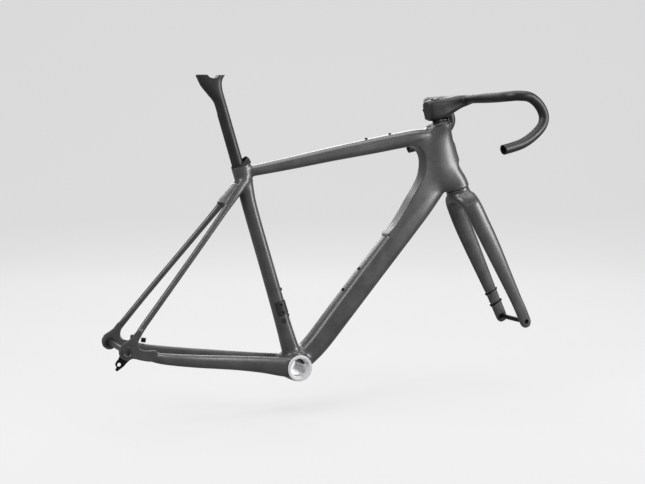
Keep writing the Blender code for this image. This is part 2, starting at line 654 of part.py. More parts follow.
def add_cockpit():
    stem = keep("stem", stem_form(), "black_composite")
    steerer_bore = [(160, 14.6), (223, 14.6), (223, 16.6), (245, 16.6)]
    cut(stem, "stem_bore", turned("bore", [(a * MM, r * MM) for a, r in steerer_bore], CROWN, STEER_DIRECTION))
    for label, along in (("lower", 186), ("upper", 206)):
        seat = steer_point(along, -19.5, 17)
        counterbore = cylinder("counterbore", seat + Y_AXIS * 10 * MM, Y_AXIS, 4.6 * MM, 20 * MM - JOINT_GAP, 16)
        cut(stem, "stem_counterbore_" + label, counterbore)
        add_screw("stem_clamp_bolt_" + label, seat, Y_AXIS, ["stem"], 4 * MM, 3.6 * MM, 2.2 * MM, 24 * MM)
    cap_profile = [(223.4, 15.9), (225.4, 15.9), (226.4, 14.8)]
    cap = keep("top_cap", turned("cap", [(a * MM, r * MM) for a, r in cap_profile], CROWN, STEER_DIRECTION),
               "black_composite")
    plug_profile = [(188, 10.2), (196, 11.1), (212, 11.1), (220.5, 10.6)]
    keep("expander_plug", turned("plug", [(a * MM, r * MM) for a, r in plug_profile], CROWN, STEER_DIRECTION),
         "grey_metal")
    add_screw("top_cap_bolt", steer_point(226.4), STEER_DIRECTION, [cap.name, "expander_plug"],
              4 * MM, 2.4 * MM, 2.4 * MM, 26 * MM)
    for side, label in ((1, "left"), (-1, "right")):
        stations = bar_stations(side)
        bar = keep("handlebar_" + label, loft("bar", stations, sides=10, reference=X_AXIS, carried=True),
                   "black_composite")
        hollow = [(c, w - 2.6 * MM, d - 2.6 * MM, p) for c, w, d, p in stations[-5::2]]
        past_end = (hollow[-1][0] - hollow[-2][0]).normalized() * 12 * MM
        hollow.append((hollow[-1][0] + past_end, *hollow[-1][1:]))
        cut(bar, "handlebar_root_" + label, stem_form(JOINT_GAP))
        cut(bar, "handlebar_hollow_" + label,
            loft("hollow", hollow, sides=HOLLOW_SIDES, carried=True))


def add_seatpost():
    bottom, top = 348, 610
    profile = [(bottom, SEATPOST_RADIUS / MM - 0.4), (bottom + 0.6, SEATPOST_RADIUS / MM), (top, SEATPOST_RADIUS / MM)]
    post = keep("seatpost", turned("post", [(a * MM, r * MM) for a, r in profile], seat_point(0), SEAT_DIRECTION),
                "black_composite")
    head = loft("head", refine(POST_HEAD_STATIONS, 2), first_tangent=SEAT_DIRECTION, last_tangent=Z_AXIS)
    join(post, "seatpost_head", head)
    cut(post, "rail_cradle", cylinder("cradle", side_point(*CRADLE_CENTRE), Y_AXIS, CRADLE_RADIUS, 60 * MM, 24))
    cut(post, "seatpost_hollow", turned("hollow", [(340 * MM, 10.8 * MM), (590 * MM, 10.8 * MM)], seat_point(0),
                                       SEAT_DIRECTION))


def add_seatpost_clamp():
    wedge_height = 34
    wedge_top = 478
    wedge = keep("seatpost_clamp_wedge", block("wedge", seat_point(wedge_top - wedge_height / 2, 18.8),
                                               (9 * MM, 13.4 * MM, wedge_height * MM), seat_turn(), bevel=0.8 * MM),
                 "grey_metal")
    add_screw("seatpost_clamp_bolt", seat_point(wedge_top, 18.8), SEAT_DIRECTION, [wedge.name],
              3.8 * MM, 4 * MM, 2.2 * MM, 28 * MM)
    cover = keep("seatpost_clamp_cover", loft("cover", [
        seat_station(486.4, 7.5, 35, 48),
        seat_station(489.5, 7.5, 33, 47),
        seat_station(491.5, 6.5, 30, 42),
    ], first_tangent=SEAT_DIRECTION, last_tangent=SEAT_DIRECTION), "rubber")
    cut(cover, "clamp_cover_bore", cylinder("bore", seat_point(489), SEAT_DIRECTION,
                                            SEATPOST_RADIUS + JOINT_GAP, 30 * MM), "MANIFOLD")


def add_cable_fittings():
    arc = []
    for radius, order in ((BB_BORE_RADIUS - 0.8 * MM, range(9)), (BB_BORE_RADIUS - 4 * MM, range(8, -1, -1))):
        for step in order:
            angle = math.radians(20 + 60 * step / 8)
            arc.append((radius * math.cos(angle), radius * math.sin(angle)))
    keep("bottom_bracket_cable_guide", plate("guide", arc, -24 * MM, 24 * MM), "black_composite")

    tube = bpy.data.objects["seat_tube"]
    window = block("window", seat_point(144, 2.5, -14.5), (28 * MM, 19 * MM, 34 * MM), seat_turn(), bevel=1.5 * MM)
    cover = keep("front_derailleur_cover", window, "black_composite")
    boolean(cover, keep_cutter("cover_outside", seat_tube_form(2.2 * MM)), "INTERSECT")
    cut(cover, "cover_inside", seat_tube_form(JOINT_GAP))
    for label, along, forward in (("lower", 135, 3), ("upper", 153, 3)):
        add_screw("cover_screw_" + label, seat_point(along, forward, -19.6), -Y_AXIS, [cover.name, tube.name],
                  2.4 * MM, 1.4 * MM, 1.2 * MM, 5 * MM, "steel")
    add_screw("seat_tube_plug", seat_point(115, -2, -17.6), -Y_AXIS, [tube.name], 6 * MM, 1.2 * MM, 3 * MM, 4 * MM,
              "rubber")


def add_bottle_bolts():
    """Button-head bolts in pairs along three tubes, and one screw under the down tube."""
    for label, offset in (("rear", 0), ("front", BOTTLE_BOSS_SPACING)):
        seat = side_point(189.7, 528.0) + Vector((math.cos(TOP_TUBE_SLOPE), 0, math.sin(TOP_TUBE_SLOPE))) * offset
        direction = Vector((-math.sin(TOP_TUBE_SLOPE), 0, math.cos(TOP_TUBE_SLOPE)))
        add_screw("top_tube_bolt_" + label, seat, direction, ["top_tube"], 4 * MM, 2.8 * MM, 2.5 * MM, 8 * MM)
    down = Vector((math.cos(DOWN_TUBE_SLOPE), 0, math.sin(DOWN_TUBE_SLOPE)))
    down_out = Vector((-math.sin(DOWN_TUBE_SLOPE), 0, math.cos(DOWN_TUBE_SLOPE)))
    for label, offset in (("lower", 0), ("upper", BOTTLE_BOSS_SPACING)):
        seat = side_point(129.3, 172.0) + down * offset
        add_screw("down_tube_bolt_" + label, seat, down_out, ["down_tube"], 4 * MM, 2.8 * MM, 2.5 * MM, 8 * MM)
    add_screw("down_tube_port_screw", side_point(84, 33), -down_out, ["down_tube"], 4 * MM, 2 * MM, 2.5 * MM, 7 * MM)
    forward = Vector((math.sin(SEAT_ANGLE), 0, math.cos(SEAT_ANGLE)))
    for label, along in (("lower", 184 - BOTTLE_BOSS_SPACING / MM), ("upper", 184)):
        seat = seat_point(along, 17.2)
        add_screw("seat_tube_bolt_" + label, seat, forward, ["seat_tube"], 4 * MM, 2.8 * MM, 2.5 * MM, 8 * MM)


def add_brake_hardware():
    """Two bands with nuts on the left fork blade, and two bosses on the left chainstay."""
    for label, along in (("upper", -298), ("lower", -331)):
        centre = steer_point(along, 44 if label == "upper" else 50, 55)
        turn = steer_turn() @ Matrix.Rotation(math.radians(-11), 3, "Y")
        band = keep("front_brake_band_" + label, block("band", centre, (60 * MM, 40 * MM, 6 * MM), turn),
                    "black_metal")
        boolean(band, keep_cutter("band_outside_" + label, blade_form(1, 2.4 * MM)), "INTERSECT")
        cut(band, "band_inside_" + label, blade_form(1, JOINT_GAP))
    for label, x, z in (("rear", -366, 77), ("front", -341, 68.5)):
        foot = side_point(x, z, 65 if label == "rear" else 66)
        profile = [(0, 5.5 * MM), (9 * MM, 5.5 * MM), (10 * MM, 4.5 * MM)]
        keep("rear_brake_boss_" + label, turned("boss", profile, foot, BRAKE_BOSS_DIRECTION), "black_metal")


def stem_form(grow=0.0):
    return loft("stem_form", STEM_STATIONS, grow)


def crown_form(grow=0.0):
    return loft("crown_form", CROWN_STATIONS, grow, reference=STEER_FORWARD,
                first_tangent=STEER_DIRECTION, last_tangent=-STEER_DIRECTION)


def blade_form(side, grow=0.0):
    return loft("blade_form", blade_stations(side), grow, first_tangent=-STEER_DIRECTION)


def blade_stations(side):
    entries = []
    for along, forward, width, depth, y, power in BLADE_SECTIONS:
        entries.append((steer_point(along, forward, y * side), width * MM / 2, depth * MM / 2, power))
    return refine(entries, 2)


def bar_stations(side):
    entries = []
    for x, y, z, width, depth in BAR_SECTIONS:
        entries.append((side_point(x, z, y * side), width * MM / 2, depth * MM / 2, 2.0))
    return refine(entries, 2)


TOP_TUBE_SLOPE = math.radians(10.4)
DOWN_TUBE_SLOPE = math.radians(48.8)
BRAKE_BOSS_DIRECTION = Vector((0.17, 0, 1))
HANGER_BOLT_RADIUS = 8 * MM
HUB_SEAT_RADIUS = 12 * MM
FORK_TIP_RADIUS = 17 * MM
FORK_TIP_THICKNESS = 11 * MM
DROPOUT_FACES = {
    "left": (REAR_HUB_WIDTH / 2, REAR_HUB_WIDTH / 2 + REAR_DROPOUT_THICKNESS),
    "right": (-REAR_HUB_WIDTH / 2 - 9 * MM, -REAR_HUB_WIDTH / 2 - 3.9 * MM),
}
HANGER_OUTLINE = [
    (-402, 79), (-402, 66), (-408, 58), (-417, 50), (-424, 43), (-433, 37), (-438, 34), (-441, 38),
    (-438, 42), (-441, 48), (-439, 54), (-434, 60), (-430, 70), (-427, 80), (-415, 86),
]
DERAILLEUR_HOLE = (-433, 48)
POST_HEAD_STATIONS = [
    station(-165, 574, 26.8, 26.8, power=2.0),
    station(-176.5, 613, 26.8, 27.0, power=2.1),
    station(-188.5, 637, 26, 38, power=2.6),
    station(-195.5, 655, 25, 53, power=3.2),
    station(-197.5, 670, 25, 66, power=4.0),
]
CRADLE_CENTRE = (-194.5, 678.6)
CRADLE_RADIUS = 16.1 * MM
BRIDGE_STATIONS = [
    station(-150, 414, 50, 9),
    station(-163, 397, 56, 10),
    station(-174, 383, 60, 8),
]
# half the fork crown, from the steering axis down to the left blade: along, forward, y,
# fore-and-aft size, thickness
CROWN_SECTIONS = [(-20, 1, 0, 57, 34), (-24.5, 2, 21, 54, 32), (-37, 4, 36, 49, 28), (-58, 7, 44, 46, 25)]
CROWN_STATIONS = refine(
    [steer_station(along, forward, width, depth, -y) for along, forward, y, width, depth in CROWN_SECTIONS[:0:-1]]
    + [steer_station(along, forward, width, depth, y) for along, forward, y, width, depth in CROWN_SECTIONS], 2)
# a fork blade: along, forward, width, fore-and-aft depth, y, squareness
BLADE_SECTIONS = [
    (-58.8, 7, 25, 46, 44, 2.3),
    (-100, 13, 22, 46, 47.5, 2.3),
    (-157, 22.5, 19, 44, 50.5, 2.3),
    (-227, 33.5, 16, 38, 52.7, 2.3),
    (-300, 45, 13, 32, 54.4, 2.4),
    (-340, 51, 11.5, 31, 55.25, 2.8),
    (-371, 54.9, 11.5, 30, 55.25, 2.8),
    (-380, 55.7, 11.5, 25, 55.25, 2.8),
    (-386, 56.2, 11.5, 13, 55.25, 2.8),
]
STEM_STATIONS = refine([
    station(353, 595, 34, 42, power=3.6),
    station(362, 596.5, 40, 51, power=3.6),
    station(386, 599.5, 42, 52, power=3.4),
    station(412, 608, 42, 41, power=3.2),
    station(440, 618, 44, 32, power=3.0),
    station(470, 625, 48, 24, power=2.6),
    station(480, 626, 44, 12, power=2.4),
], 2)
# half the handlebar, from the stem out to the open end: x, y, z, fore-and-aft size, height
BAR_SECTIONS = [
    (462, 10, 625, 40, 22),
    (462, 50, 625, 36, 22),
    (461, 100, 625, 27, 23.8),
    (460, 150, 625, 23.8, 23.8),
    (463, 190, 626, 23.8, 23.8),
    (480, 208, 627, 23.8, 23.8),
    (508, 212.5, 623, 23.8, 23.8),
    (534, 212.7, 603, 23.8, 23.8),
    (545, 213, 576, 23.8, 23.8),
    (530, 216, 549, 23.8, 23.8),
    (484, 222, 519, 23.8, 23.8),
    (425, 228.5, 503, 23.8, 23.8),
]

# pieces that move, by the name of the empty they hang on
MOVING = {
    "steering_pivot": (CROWN, [
        "fork_crown", "fork_blade_left", "fork_blade_right", "steerer_tube", "crown_race",
        "lower_bearing_inner_race", "upper_bearing_inner_race", "lower_ball_ring", "upper_ball_ring",
        "compression_ring", "headset_cover", "stem", "stem_clamp_bolt_lower", "stem_clamp_bolt_upper",
        "top_cap", "expander_plug", "top_cap_bolt", "handlebar_left", "handlebar_right",
        "front_brake_band_upper", "front_brake_band_lower", "front_hub_seat_left"]),
    "front_axle_slide": (FRONT_AXLE, ["front_thru_axle"]),
    "rear_axle_slide": (REAR_AXLE, ["rear_thru_axle"]),
    "hanger_pivot": (REAR_AXLE, ["derailleur_hanger", "hanger_bolt"]),
    "seatpost_slide": (seat_point(0), ["seatpost"]),
}


def hang_moving_pieces():
    """Parent each moving piece to an empty on its joint's axis, without shifting it."""
    for empty_name, (place, names) in MOVING.items():
        pivot = bpy.data.objects.new(empty_name, None)
        pivot.location = place
        pivot.empty_display_size = 40 * MM
        PARTS.objects.link(pivot)
        for name in names:
            item = bpy.data.objects[name]
            item.parent = pivot
            item.matrix_parent_inverse = Matrix.Translation(-place)


add_head_tube()
add_seat_tube()
add_bottom_bracket()
add_top_tube()
add_down_tube()
add_rear_end()
add_seatstay_bridge()
add_rear_axle_set()
add_fork()
add_front_axle_set()
add_headset()
add_cockpit()
add_seatpost()
add_seatpost_clamp()
add_cable_fittings()
add_bottle_bolts()
add_brake_hardware()
hang_moving_pieces()
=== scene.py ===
"""Looks for the gravel bicycle frameset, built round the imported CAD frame.

The bonded tubes, the fork, the cockpit and the seatpost are lofted finely through the same
sections as the solids, fused with filleted junctions, and carried by the CAD bodies.
Lengths in the tables are millimetres; +X forward, +Y left, +Z up.
"""
import json
import math

import bmesh
import bpy
import numpy as np
from mathutils import Matrix, Vector


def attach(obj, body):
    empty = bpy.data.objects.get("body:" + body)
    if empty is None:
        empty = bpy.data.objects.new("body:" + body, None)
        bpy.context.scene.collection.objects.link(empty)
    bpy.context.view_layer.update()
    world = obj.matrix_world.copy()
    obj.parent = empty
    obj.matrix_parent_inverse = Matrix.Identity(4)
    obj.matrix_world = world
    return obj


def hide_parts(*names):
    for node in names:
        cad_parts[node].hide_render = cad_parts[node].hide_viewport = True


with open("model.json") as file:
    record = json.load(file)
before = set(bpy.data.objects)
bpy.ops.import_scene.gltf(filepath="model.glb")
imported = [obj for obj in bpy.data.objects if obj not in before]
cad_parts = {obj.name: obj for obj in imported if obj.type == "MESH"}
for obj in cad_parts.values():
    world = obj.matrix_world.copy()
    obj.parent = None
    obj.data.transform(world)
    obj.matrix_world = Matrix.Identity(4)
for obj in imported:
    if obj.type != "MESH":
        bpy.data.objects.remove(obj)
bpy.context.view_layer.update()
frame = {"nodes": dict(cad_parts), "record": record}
RECORD = frame["record"]
MOUNTS = {mount["name"]: mount for mount in RECORD["mounts"]}

MM = 0.001
SEAT_ANGLE = math.radians(73.5)
HEAD_ANGLE = math.radians(71.7)
BB_DROP = 73 * MM
BB_CENTRE = Vector((0, 0, 0))
REAR_AXLE = Vector((-math.sqrt(0.422 ** 2 - BB_DROP ** 2), 0, BB_DROP))
FRONT_AXLE = Vector((0.6077, 0, BB_DROP))
CROWN = Vector((0.439, 0, 0.408))
SEAT_DIRECTION = Vector((-math.cos(SEAT_ANGLE), 0, math.sin(SEAT_ANGLE)))
SEAT_FORWARD = Vector((math.sin(SEAT_ANGLE), 0, math.cos(SEAT_ANGLE)))
STEER_DIRECTION = Vector((-math.cos(HEAD_ANGLE), 0, math.sin(HEAD_ANGLE)))
STEER_FORWARD = Vector((math.sin(HEAD_ANGLE), 0, math.cos(HEAD_ANGLE)))
X_AXIS = Vector((1, 0, 0))
Y_AXIS = Vector((0, 1, 0))
LOFT_SIDES = 56
LOFT_STEPS = 8
TURNED_SIDES = 72
FRAME_VOXEL = 1.5 * MM
FINE_VOXEL = 1.2 * MM
HEX_SIDES = 6
SCREW_SIDES = 40
SHANK = 3.0

# bores and outer sizes that the pieces share with the solids, in millimetres
BB_BORE = 27.3
BB_RING_SEAT = 30.6
SEAT_TUBE_BORE = 13.9
POST_RADIUS = 13.6
POST_BORE = 10.8
AXLE_RADIUS = 6.0
AXLE_BORE = 6.3
HANGER_BOLT_BORE = 8.3
HUB_SEAT_RADIUS = 12.0
HUB_POCKET_RADIUS = 12.3
STEERER_BORE = 14.6
SHELL_GAP = 0.2
STEM_BOLT_HEIGHTS = (("lower", 186), ("upper", 206))
STEM_BOLT_PLACE = (-19.5, 17)

# the studio
FLOOR_Z = -0.105
FLOOR_GLOW = 0.62
FLOOR_LEVEL = 0.16
STAGE_YAW = 0.4219
STAGE_FRONT = -6.0
STAGE_FLAT = 3.0
STAGE_SWEEP = 2.0
STAGE_TOP = 7.0
STAGE_HALF_WIDTH = 9.0
STAGE_SWEEP_STEPS = 16


# ---------------------------------------------------------------- materials

def new_material(name, colour, roughness, metallic=0.0):
    material = bpy.data.materials.new(name)
    material.use_nodes = True
    shader = material.node_tree.nodes["Principled BSDF"]
    shader.inputs["Base Color"].default_value = (*colour, 1.0)
    shader.inputs["Roughness"].default_value = roughness
    shader.inputs["Metallic"].default_value = metallic
    return material, material.node_tree, shader


def coordinates(tree, scale=(1, 1, 1), turn=(0, 0, 0)):
    source = tree.nodes.new("ShaderNodeTexCoord")
    mapping = tree.nodes.new("ShaderNodeMapping")
    mapping.inputs["Scale"].default_value = scale
    mapping.inputs["Rotation"].default_value = turn
    tree.links.new(source.outputs["Object"], mapping.inputs["Vector"])
    return mapping.outputs["Vector"]


def noise(tree, vector, scale, detail=3.0, roughness=0.55):
    node = tree.nodes.new("ShaderNodeTexNoise")
    node.inputs["Scale"].default_value = scale
    node.inputs["Detail"].default_value = detail
    node.inputs["Roughness"].default_value = roughness
    tree.links.new(vector, node.inputs["Vector"])
    return node.outputs["Fac"]


def ramp(tree, factor, stops):
    node = tree.nodes.new("ShaderNodeValToRGB")
    elements = node.color_ramp.elements
    while len(elements) < len(stops):
        elements.new(0.5)
    for element, (place, colour) in zip(elements, stops):
        element.position = place
        element.color = (*colour, 1.0)
    tree.links.new(factor, node.inputs["Fac"])
    return node.outputs["Color"]


def spread(tree, factor, low, high, from_low=0.3, from_high=0.7):
    node = tree.nodes.new("ShaderNodeMapRange")
    node.inputs["From Min"].default_value = from_low
    node.inputs["From Max"].default_value = from_high
    node.inputs["To Min"].default_value = low
    node.inputs["To Max"].default_value = high
    tree.links.new(factor, node.inputs["Value"])
    return node.outputs["Result"]


def combine(tree, operation, first, second):
    node = tree.nodes.new("ShaderNodeMath")
    node.operation = operation
    for socket, value in zip(node.inputs, (first, second)):
        if isinstance(value, (int, float)):
            socket.default_value = value
        else:
            tree.links.new(value, socket)
    return node.outputs["Value"]


def bump(tree, shader, height, strength, distance=0.0004):
    node = tree.nodes.new("ShaderNodeBump")
    node.inputs["Strength"].default_value = strength
    node.inputs["Distance"].default_value = distance
    tree.links.new(height, node.inputs["Height"])
    tree.links.new(node.outputs["Normal"], shader.inputs["Normal"])


def carbon(name, level, turn):
    """Satin clear coat over dark carbon: cloudy patches of lay-up, and fine fibres that all
    run one way, seen as a faint figure in colour and gloss."""
    material, tree, shader = new_material(name, (level, level, level), 0.34)
    cloud = noise(tree, coordinates(tree, (1, 1, 1)), 26, 4.0, 0.6)
    fibre = noise(tree, coordinates(tree, (60, 900, 900), turn), 1.0, 2.0, 0.5)
    fleck = noise(tree, coordinates(tree, (1, 1, 1)), 420, 2.0, 0.6)
    figure = combine(tree, "ADD", combine(tree, "MULTIPLY", cloud, 0.55),
                     combine(tree, "MULTIPLY", fibre, 0.45))
    dark = (level * 0.72, level * 0.73, level * 0.75)
    light = (level * 1.32, level * 1.32, level * 1.33)
    tree.links.new(ramp(tree, figure, [(0.36, dark), (0.64, light)]), shader.inputs["Base Color"])
    tree.links.new(spread(tree, figure, 0.30, 0.40), shader.inputs["Roughness"])
    shader.inputs["Coat Weight"].default_value = 0.35
    shader.inputs["Coat Roughness"].default_value = 0.22
    shader.inputs["Specular IOR Level"].default_value = 0.55
    grain = combine(tree, "ADD", fleck, combine(tree, "MULTIPLY", fibre, 0.6))
    bump(tree, shader, grain, 0.10, 0.00012)
    return material


def moulded(name, level, roughness, grain=900.0, strength=0.25):
    """Matt moulded composite or rubber with a fine grain."""
    material, tree, shader = new_material(name, (level, level, level), roughness)
    fine = noise(tree, coordinates(tree), grain, 2.0, 0.6)
    cloud = noise(tree, coordinates(tree), 22, 3.0, 0.55)
    tree.links.new(ramp(tree, cloud, [(0.3, (level * 0.8,) * 3), (0.7, (level * 1.25,) * 3)]),
                   shader.inputs["Base Color"])
    tree.links.new(spread(tree, cloud, roughness - 0.05, roughness + 0.07), shader.inputs["Roughness"])
    bump(tree, shader, fine, strength, 0.0002)
    return material


def metal(name, colour, roughness, stretch=(60, 60, 60), strength=0.12, metallic=1.0):
    """Machined or anodised metal: fine tool marks and slightly uneven gloss."""
    material, tree, shader = new_material(name, colour, roughness, metallic)
    marks = noise(tree, coordinates(tree, stretch), 8.0, 4.0, 0.65)
    cloud = noise(tree, coordinates(tree), 70, 3.0, 0.6)
    dark = tuple(channel * 0.86 for channel in colour)
    light = tuple(min(channel * 1.12, 1.0) for channel in colour)
    tree.links.new(ramp(tree, marks, [(0.3, dark), (0.7, light)]), shader.inputs["Base Color"])
    tree.links.new(spread(tree, cloud, roughness - 0.06, roughness + 0.08), shader.inputs["Roughness"])
    bump(tree, shader, marks, strength, 0.0002)
    return material


def floor_material():
    """Pale paper that glows a little, so that it stays even from edge to edge."""
    grey, blue = FLOOR_LEVEL, FLOOR_LEVEL + 0.003
    change = 0.002
    material, tree, shader = new_material("floor", (grey, grey, blue), 0.95)
    cloud = noise(tree, coordinates(tree), 1.4, 2.0, 0.4)
    low = (grey - change, grey - change, blue - change)
    high = (grey + change, grey + change, blue + change)
    tree.links.new(ramp(tree, cloud, [(0.3, low), (0.7, high)]), shader.inputs["Base Color"])
    shader.inputs["Specular IOR Level"].default_value = 0.0
    shader.inputs["Emission Color"].default_value = (1.0, 1.0, 1.0, 1.0)
    shader.inputs["Emission Strength"].default_value = FLOOR_GLOW
    return material


LOOKS = {
    "frame_carbon": carbon("frame_carbon", 0.056, (0, math.radians(-35), 0)),
    "fork_carbon": carbon("fork_carbon", 0.052, (0, math.radians(62), 0)),
    "black_composite": moulded("black_composite", 0.014, 0.42),
    "aluminium": metal("aluminium", (0.86, 0.86, 0.87), 0.42, (3, 160, 3), 0.05, metallic=0.55),
    "black_metal": metal("black_metal", (0.022, 0.022, 0.023), 0.34, (200, 200, 200), metallic=0.9),
    "grey_metal": metal("grey_metal", (0.12, 0.12, 0.125), 0.34, (120, 400, 120), metallic=0.9),
    "steel": metal("steel", (0.56, 0.56, 0.57), 0.22, (150, 150, 150), 0.06),
    "rubber": moulded("rubber", 0.010, 0.72, 700.0, 0.35),
}


# ---------------------------------------------------------------- geometry helpers

def side_point(x, z, y=0.0):
    return Vector((x, y, z)) * MM


def steer_point(along, forward=0.0, y=0.0):
    return CROWN + STEER_DIRECTION * along * MM + STEER_FORWARD * forward * MM + Y_AXIS * y * MM


def seat_point(along, forward=0.0, y=0.0):
    start = Vector((0.005, 0, 0))
    return start + SEAT_DIRECTION * along * MM + SEAT_FORWARD * forward * MM + Y_AXIS * y * MM


def station(x, z, width, depth, y=0.0, power=2.4):
    return (side_point(x, z, y), width * MM / 2, depth * MM / 2, power)


def steer_station(along, forward, width, depth, y=0.0, power=2.3):
    return (steer_point(along, forward, y), width * MM / 2, depth * MM / 2, power)


def head_station(along, front, rear, width, power=2.3):
    return steer_station(along, (front + rear) / 2, width, front - rear, power=power)


def seat_station(along, forward, width, depth, power=2.2):
    return (seat_point(along, forward), width * MM / 2, depth * MM / 2, power)


def refine(stations, steps=LOFT_STEPS):
    """Stations read from a smooth curve through the given ones."""
    fine = []
    count = len(stations)
    for index in range(count - 1):
        around = [stations[min(max(index + offset, 0), count - 1)] for offset in (-1, 0, 1, 2)]
        for step in range(steps):
            t = step / steps
            weights = (
                -0.5 * t + t ** 2 - 0.5 * t ** 3,
                1 - 2.5 * t ** 2 + 1.5 * t ** 3,
                0.5 * t + 2 * t ** 2 - 1.5 * t ** 3,
                -0.5 * t ** 2 + 0.5 * t ** 3,
            )
            centre = Vector((0, 0, 0))
            for weight, entry in zip(weights, around):
                centre += entry[0] * weight
            sizes = [sum(w * entry[k] for w, entry in zip(weights, around)) for k in (1, 2, 3)]
            fine.append((centre, *sizes))
    fine.append(stations[-1])
    return fine


def superellipse(half_width, half_depth, power, sides):
    """An outline that is an ellipse at power 2 and squarer above it."""
    points = []
    for step in range(sides):
        angle = 2 * math.pi * (step + 0.5) / sides
        across = math.copysign(abs(math.cos(angle)) ** (2 / power), math.cos(angle))
        along = math.copysign(abs(math.sin(angle)) ** (2 / power), math.sin(angle))
        points.append((half_width * across, half_depth * along))
    return points


def finish_bmesh(work):
    """A mesh of the shape, with its faces pointing out."""
    bmesh.ops.recalc_face_normals(work, faces=work.faces)
    if work.calc_volume(signed=True) < 0:
        bmesh.ops.reverse_faces(work, faces=work.faces)
    mesh = bpy.data.meshes.new("shape")
    work.to_mesh(mesh)
    work.free()
    return mesh


def bridge_rings(work, rings, closed=False):
    """Faces between neighbouring rings, and over both ends unless the rings run in a circle."""
    pairs = list(zip(rings, rings[1:]))
    if closed:
        pairs.append((rings[-1], rings[0]))
    sides = len(rings[0])
    for lower, upper in pairs:
        for index in range(sides):
            following = (index + 1) % sides
            work.faces.new((lower[index], lower[following], upper[following], upper[index]))
    if not closed:
        work.faces.new(rings[0])
        work.faces.new(rings[-1])


def loft(stations, grow=0.0, sides=LOFT_SIDES, reference=Y_AXIS, carried=False,
         first_tangent=None, last_tangent=None):
    """A closed tube through cross-sections of different shapes."""
    centres = [entry[0].copy() for entry in stations]
    tangents = []
    for index in range(len(centres)):
        before = centres[max(index - 1, 0)]
        after = centres[min(index + 1, len(centres) - 1)]
        tangents.append((after - before).normalized())
    tangents[0] = first_tangent or tangents[0]
    tangents[-1] = last_tangent or tangents[-1]
    centres[0] -= tangents[0] * grow
    centres[-1] += tangents[-1] * grow
    work = bmesh.new()
    rings = []
    for centre, tangent, entry in zip(centres, tangents, stations):
        width_axis = (reference - tangent * tangent.dot(reference)).normalized()
        if carried:
            reference = width_axis
        depth_axis = tangent.cross(width_axis)
        outline = superellipse(entry[1] + grow, entry[2] + grow, entry[3], sides)
        rings.append([work.verts.new(centre + width_axis * a + depth_axis * b) for a, b in outline])
    bridge_rings(work, rings)
    return finish_bmesh(work)


def turned(profile, axis_point, axis, sides=TURNED_SIDES, closed=False):
    """A turned solid: profile is (distance along the axis, radius) in millimetres; a closed
    profile makes a ring."""
    turn = axis.normalized().to_track_quat("Z", "Y").to_matrix()
    work = bmesh.new()
    rings = []
    for along, radius in profile:
        ring = []
        for step in range(sides):
            angle = 2 * math.pi * (step + 0.5) / sides
            local = Vector((radius * math.cos(angle), radius * math.sin(angle), along)) * MM
            ring.append(work.verts.new(axis_point + turn @ local))
        rings.append(ring)
    bridge_rings(work, rings, closed)
    return finish_bmesh(work)


def softened(profile, radius=0.4, steps=3):
    """A closed profile with its corners rounded."""
    rounded = []
    count = len(profile)
    for index in range(count):
        corner = Vector(profile[index])
        before = Vector(profile[index - 1]) - corner
        after = Vector(profile[(index + 1) % count]) - corner
        reach = min(radius, before.length * 0.4, after.length * 0.4)
        start = corner + before.normalized() * reach
        end = corner + after.normalized() * reach
        for step in range(steps + 1):
            t = step / steps
            point = start * (1 - t) ** 2 + corner * 2 * t * (1 - t) + end * t ** 2
            rounded.append((point.x, point.y))
    return rounded


def smooth_outline(points, steps=8):
    """A closed outline through the given points."""
    fine = []
    count = len(points)
    for index in range(count):
        a, b, c, d = [Vector(points[(index + offset) % count]) for offset in (-1, 0, 1, 2)]
        for step in range(steps):
            t = step / steps
            point = (2 * b + (c - a) * t + (2 * a - 5 * b + 4 * c - d) * t ** 2
                     + (3 * b - a - 3 * c + d) * t ** 3) / 2
            fine.append((point.x, point.y))
    return fine


def plate(outline, y_low, y_high, bevel=0.6):
    """A flat outline of (x, z) points, extruded sideways, with rounded edges; millimetres."""
    work = bmesh.new()
    count = len(outline)
    rings = [[work.verts.new(side_point(x, z, y)) for x, z in outline] for y in (y_low, y_high)]
    for index in range(count):
        following = (index + 1) % count
        work.faces.new((rings[0][index], rings[0][following], rings[1][following], rings[1][index]))
    caps = [work.faces.new(rings[0]), work.faces.new(rings[1])]
    if bevel:
        rim = list({edge for cap in caps for edge in cap.edges})
        bmesh.ops.bevel(work, geom=rim, offset=bevel * MM, segments=3, affect="EDGES", profile=0.5)
    return finish_bmesh(work)


def block(centre, size, turn, bevel):
    """A box with rounded edges; size and bevel in millimetres."""
    work = bmesh.new()
    bmesh.ops.create_cube(work, size=1.0)
    for vertex in work.verts:
        vertex.co = Vector([a * b * MM for a, b in zip(vertex.co, size)])
    bmesh.ops.bevel(work, geom=work.edges[:], offset=bevel * MM, segments=4, affect="EDGES",
                    profile=0.5)
    matrix = Matrix.Translation(centre) @ turn.to_4x4()
    bmesh.ops.transform(work, matrix=matrix, verts=work.verts)
    return finish_bmesh(work)


def seat_turn():
    """The turn that stands a box up along the seat tube."""
    return Matrix.Rotation(-(math.pi / 2 - SEAT_ANGLE), 3, "Y")


def steer_turn():
    """The turn that stands a box up along the steering axis."""
    return Matrix.Rotation(-(math.pi / 2 - HEAD_ANGLE), 3, "Y")


def settled(item):
    """The mesh an object's modifiers make of it, and the object gone."""
    graph = bpy.context.evaluated_depsgraph_get()
    mesh = bpy.data.meshes.new_from_object(item.evaluated_get(graph))
    bpy.data.objects.remove(item, do_unlink=True)
    return mesh


def stand_in(mesh):
    """An object that holds the mesh while modifiers work on it."""
    item = bpy.data.objects.new("work", mesh)
    bpy.context.scene.collection.objects.link(item)
    return item


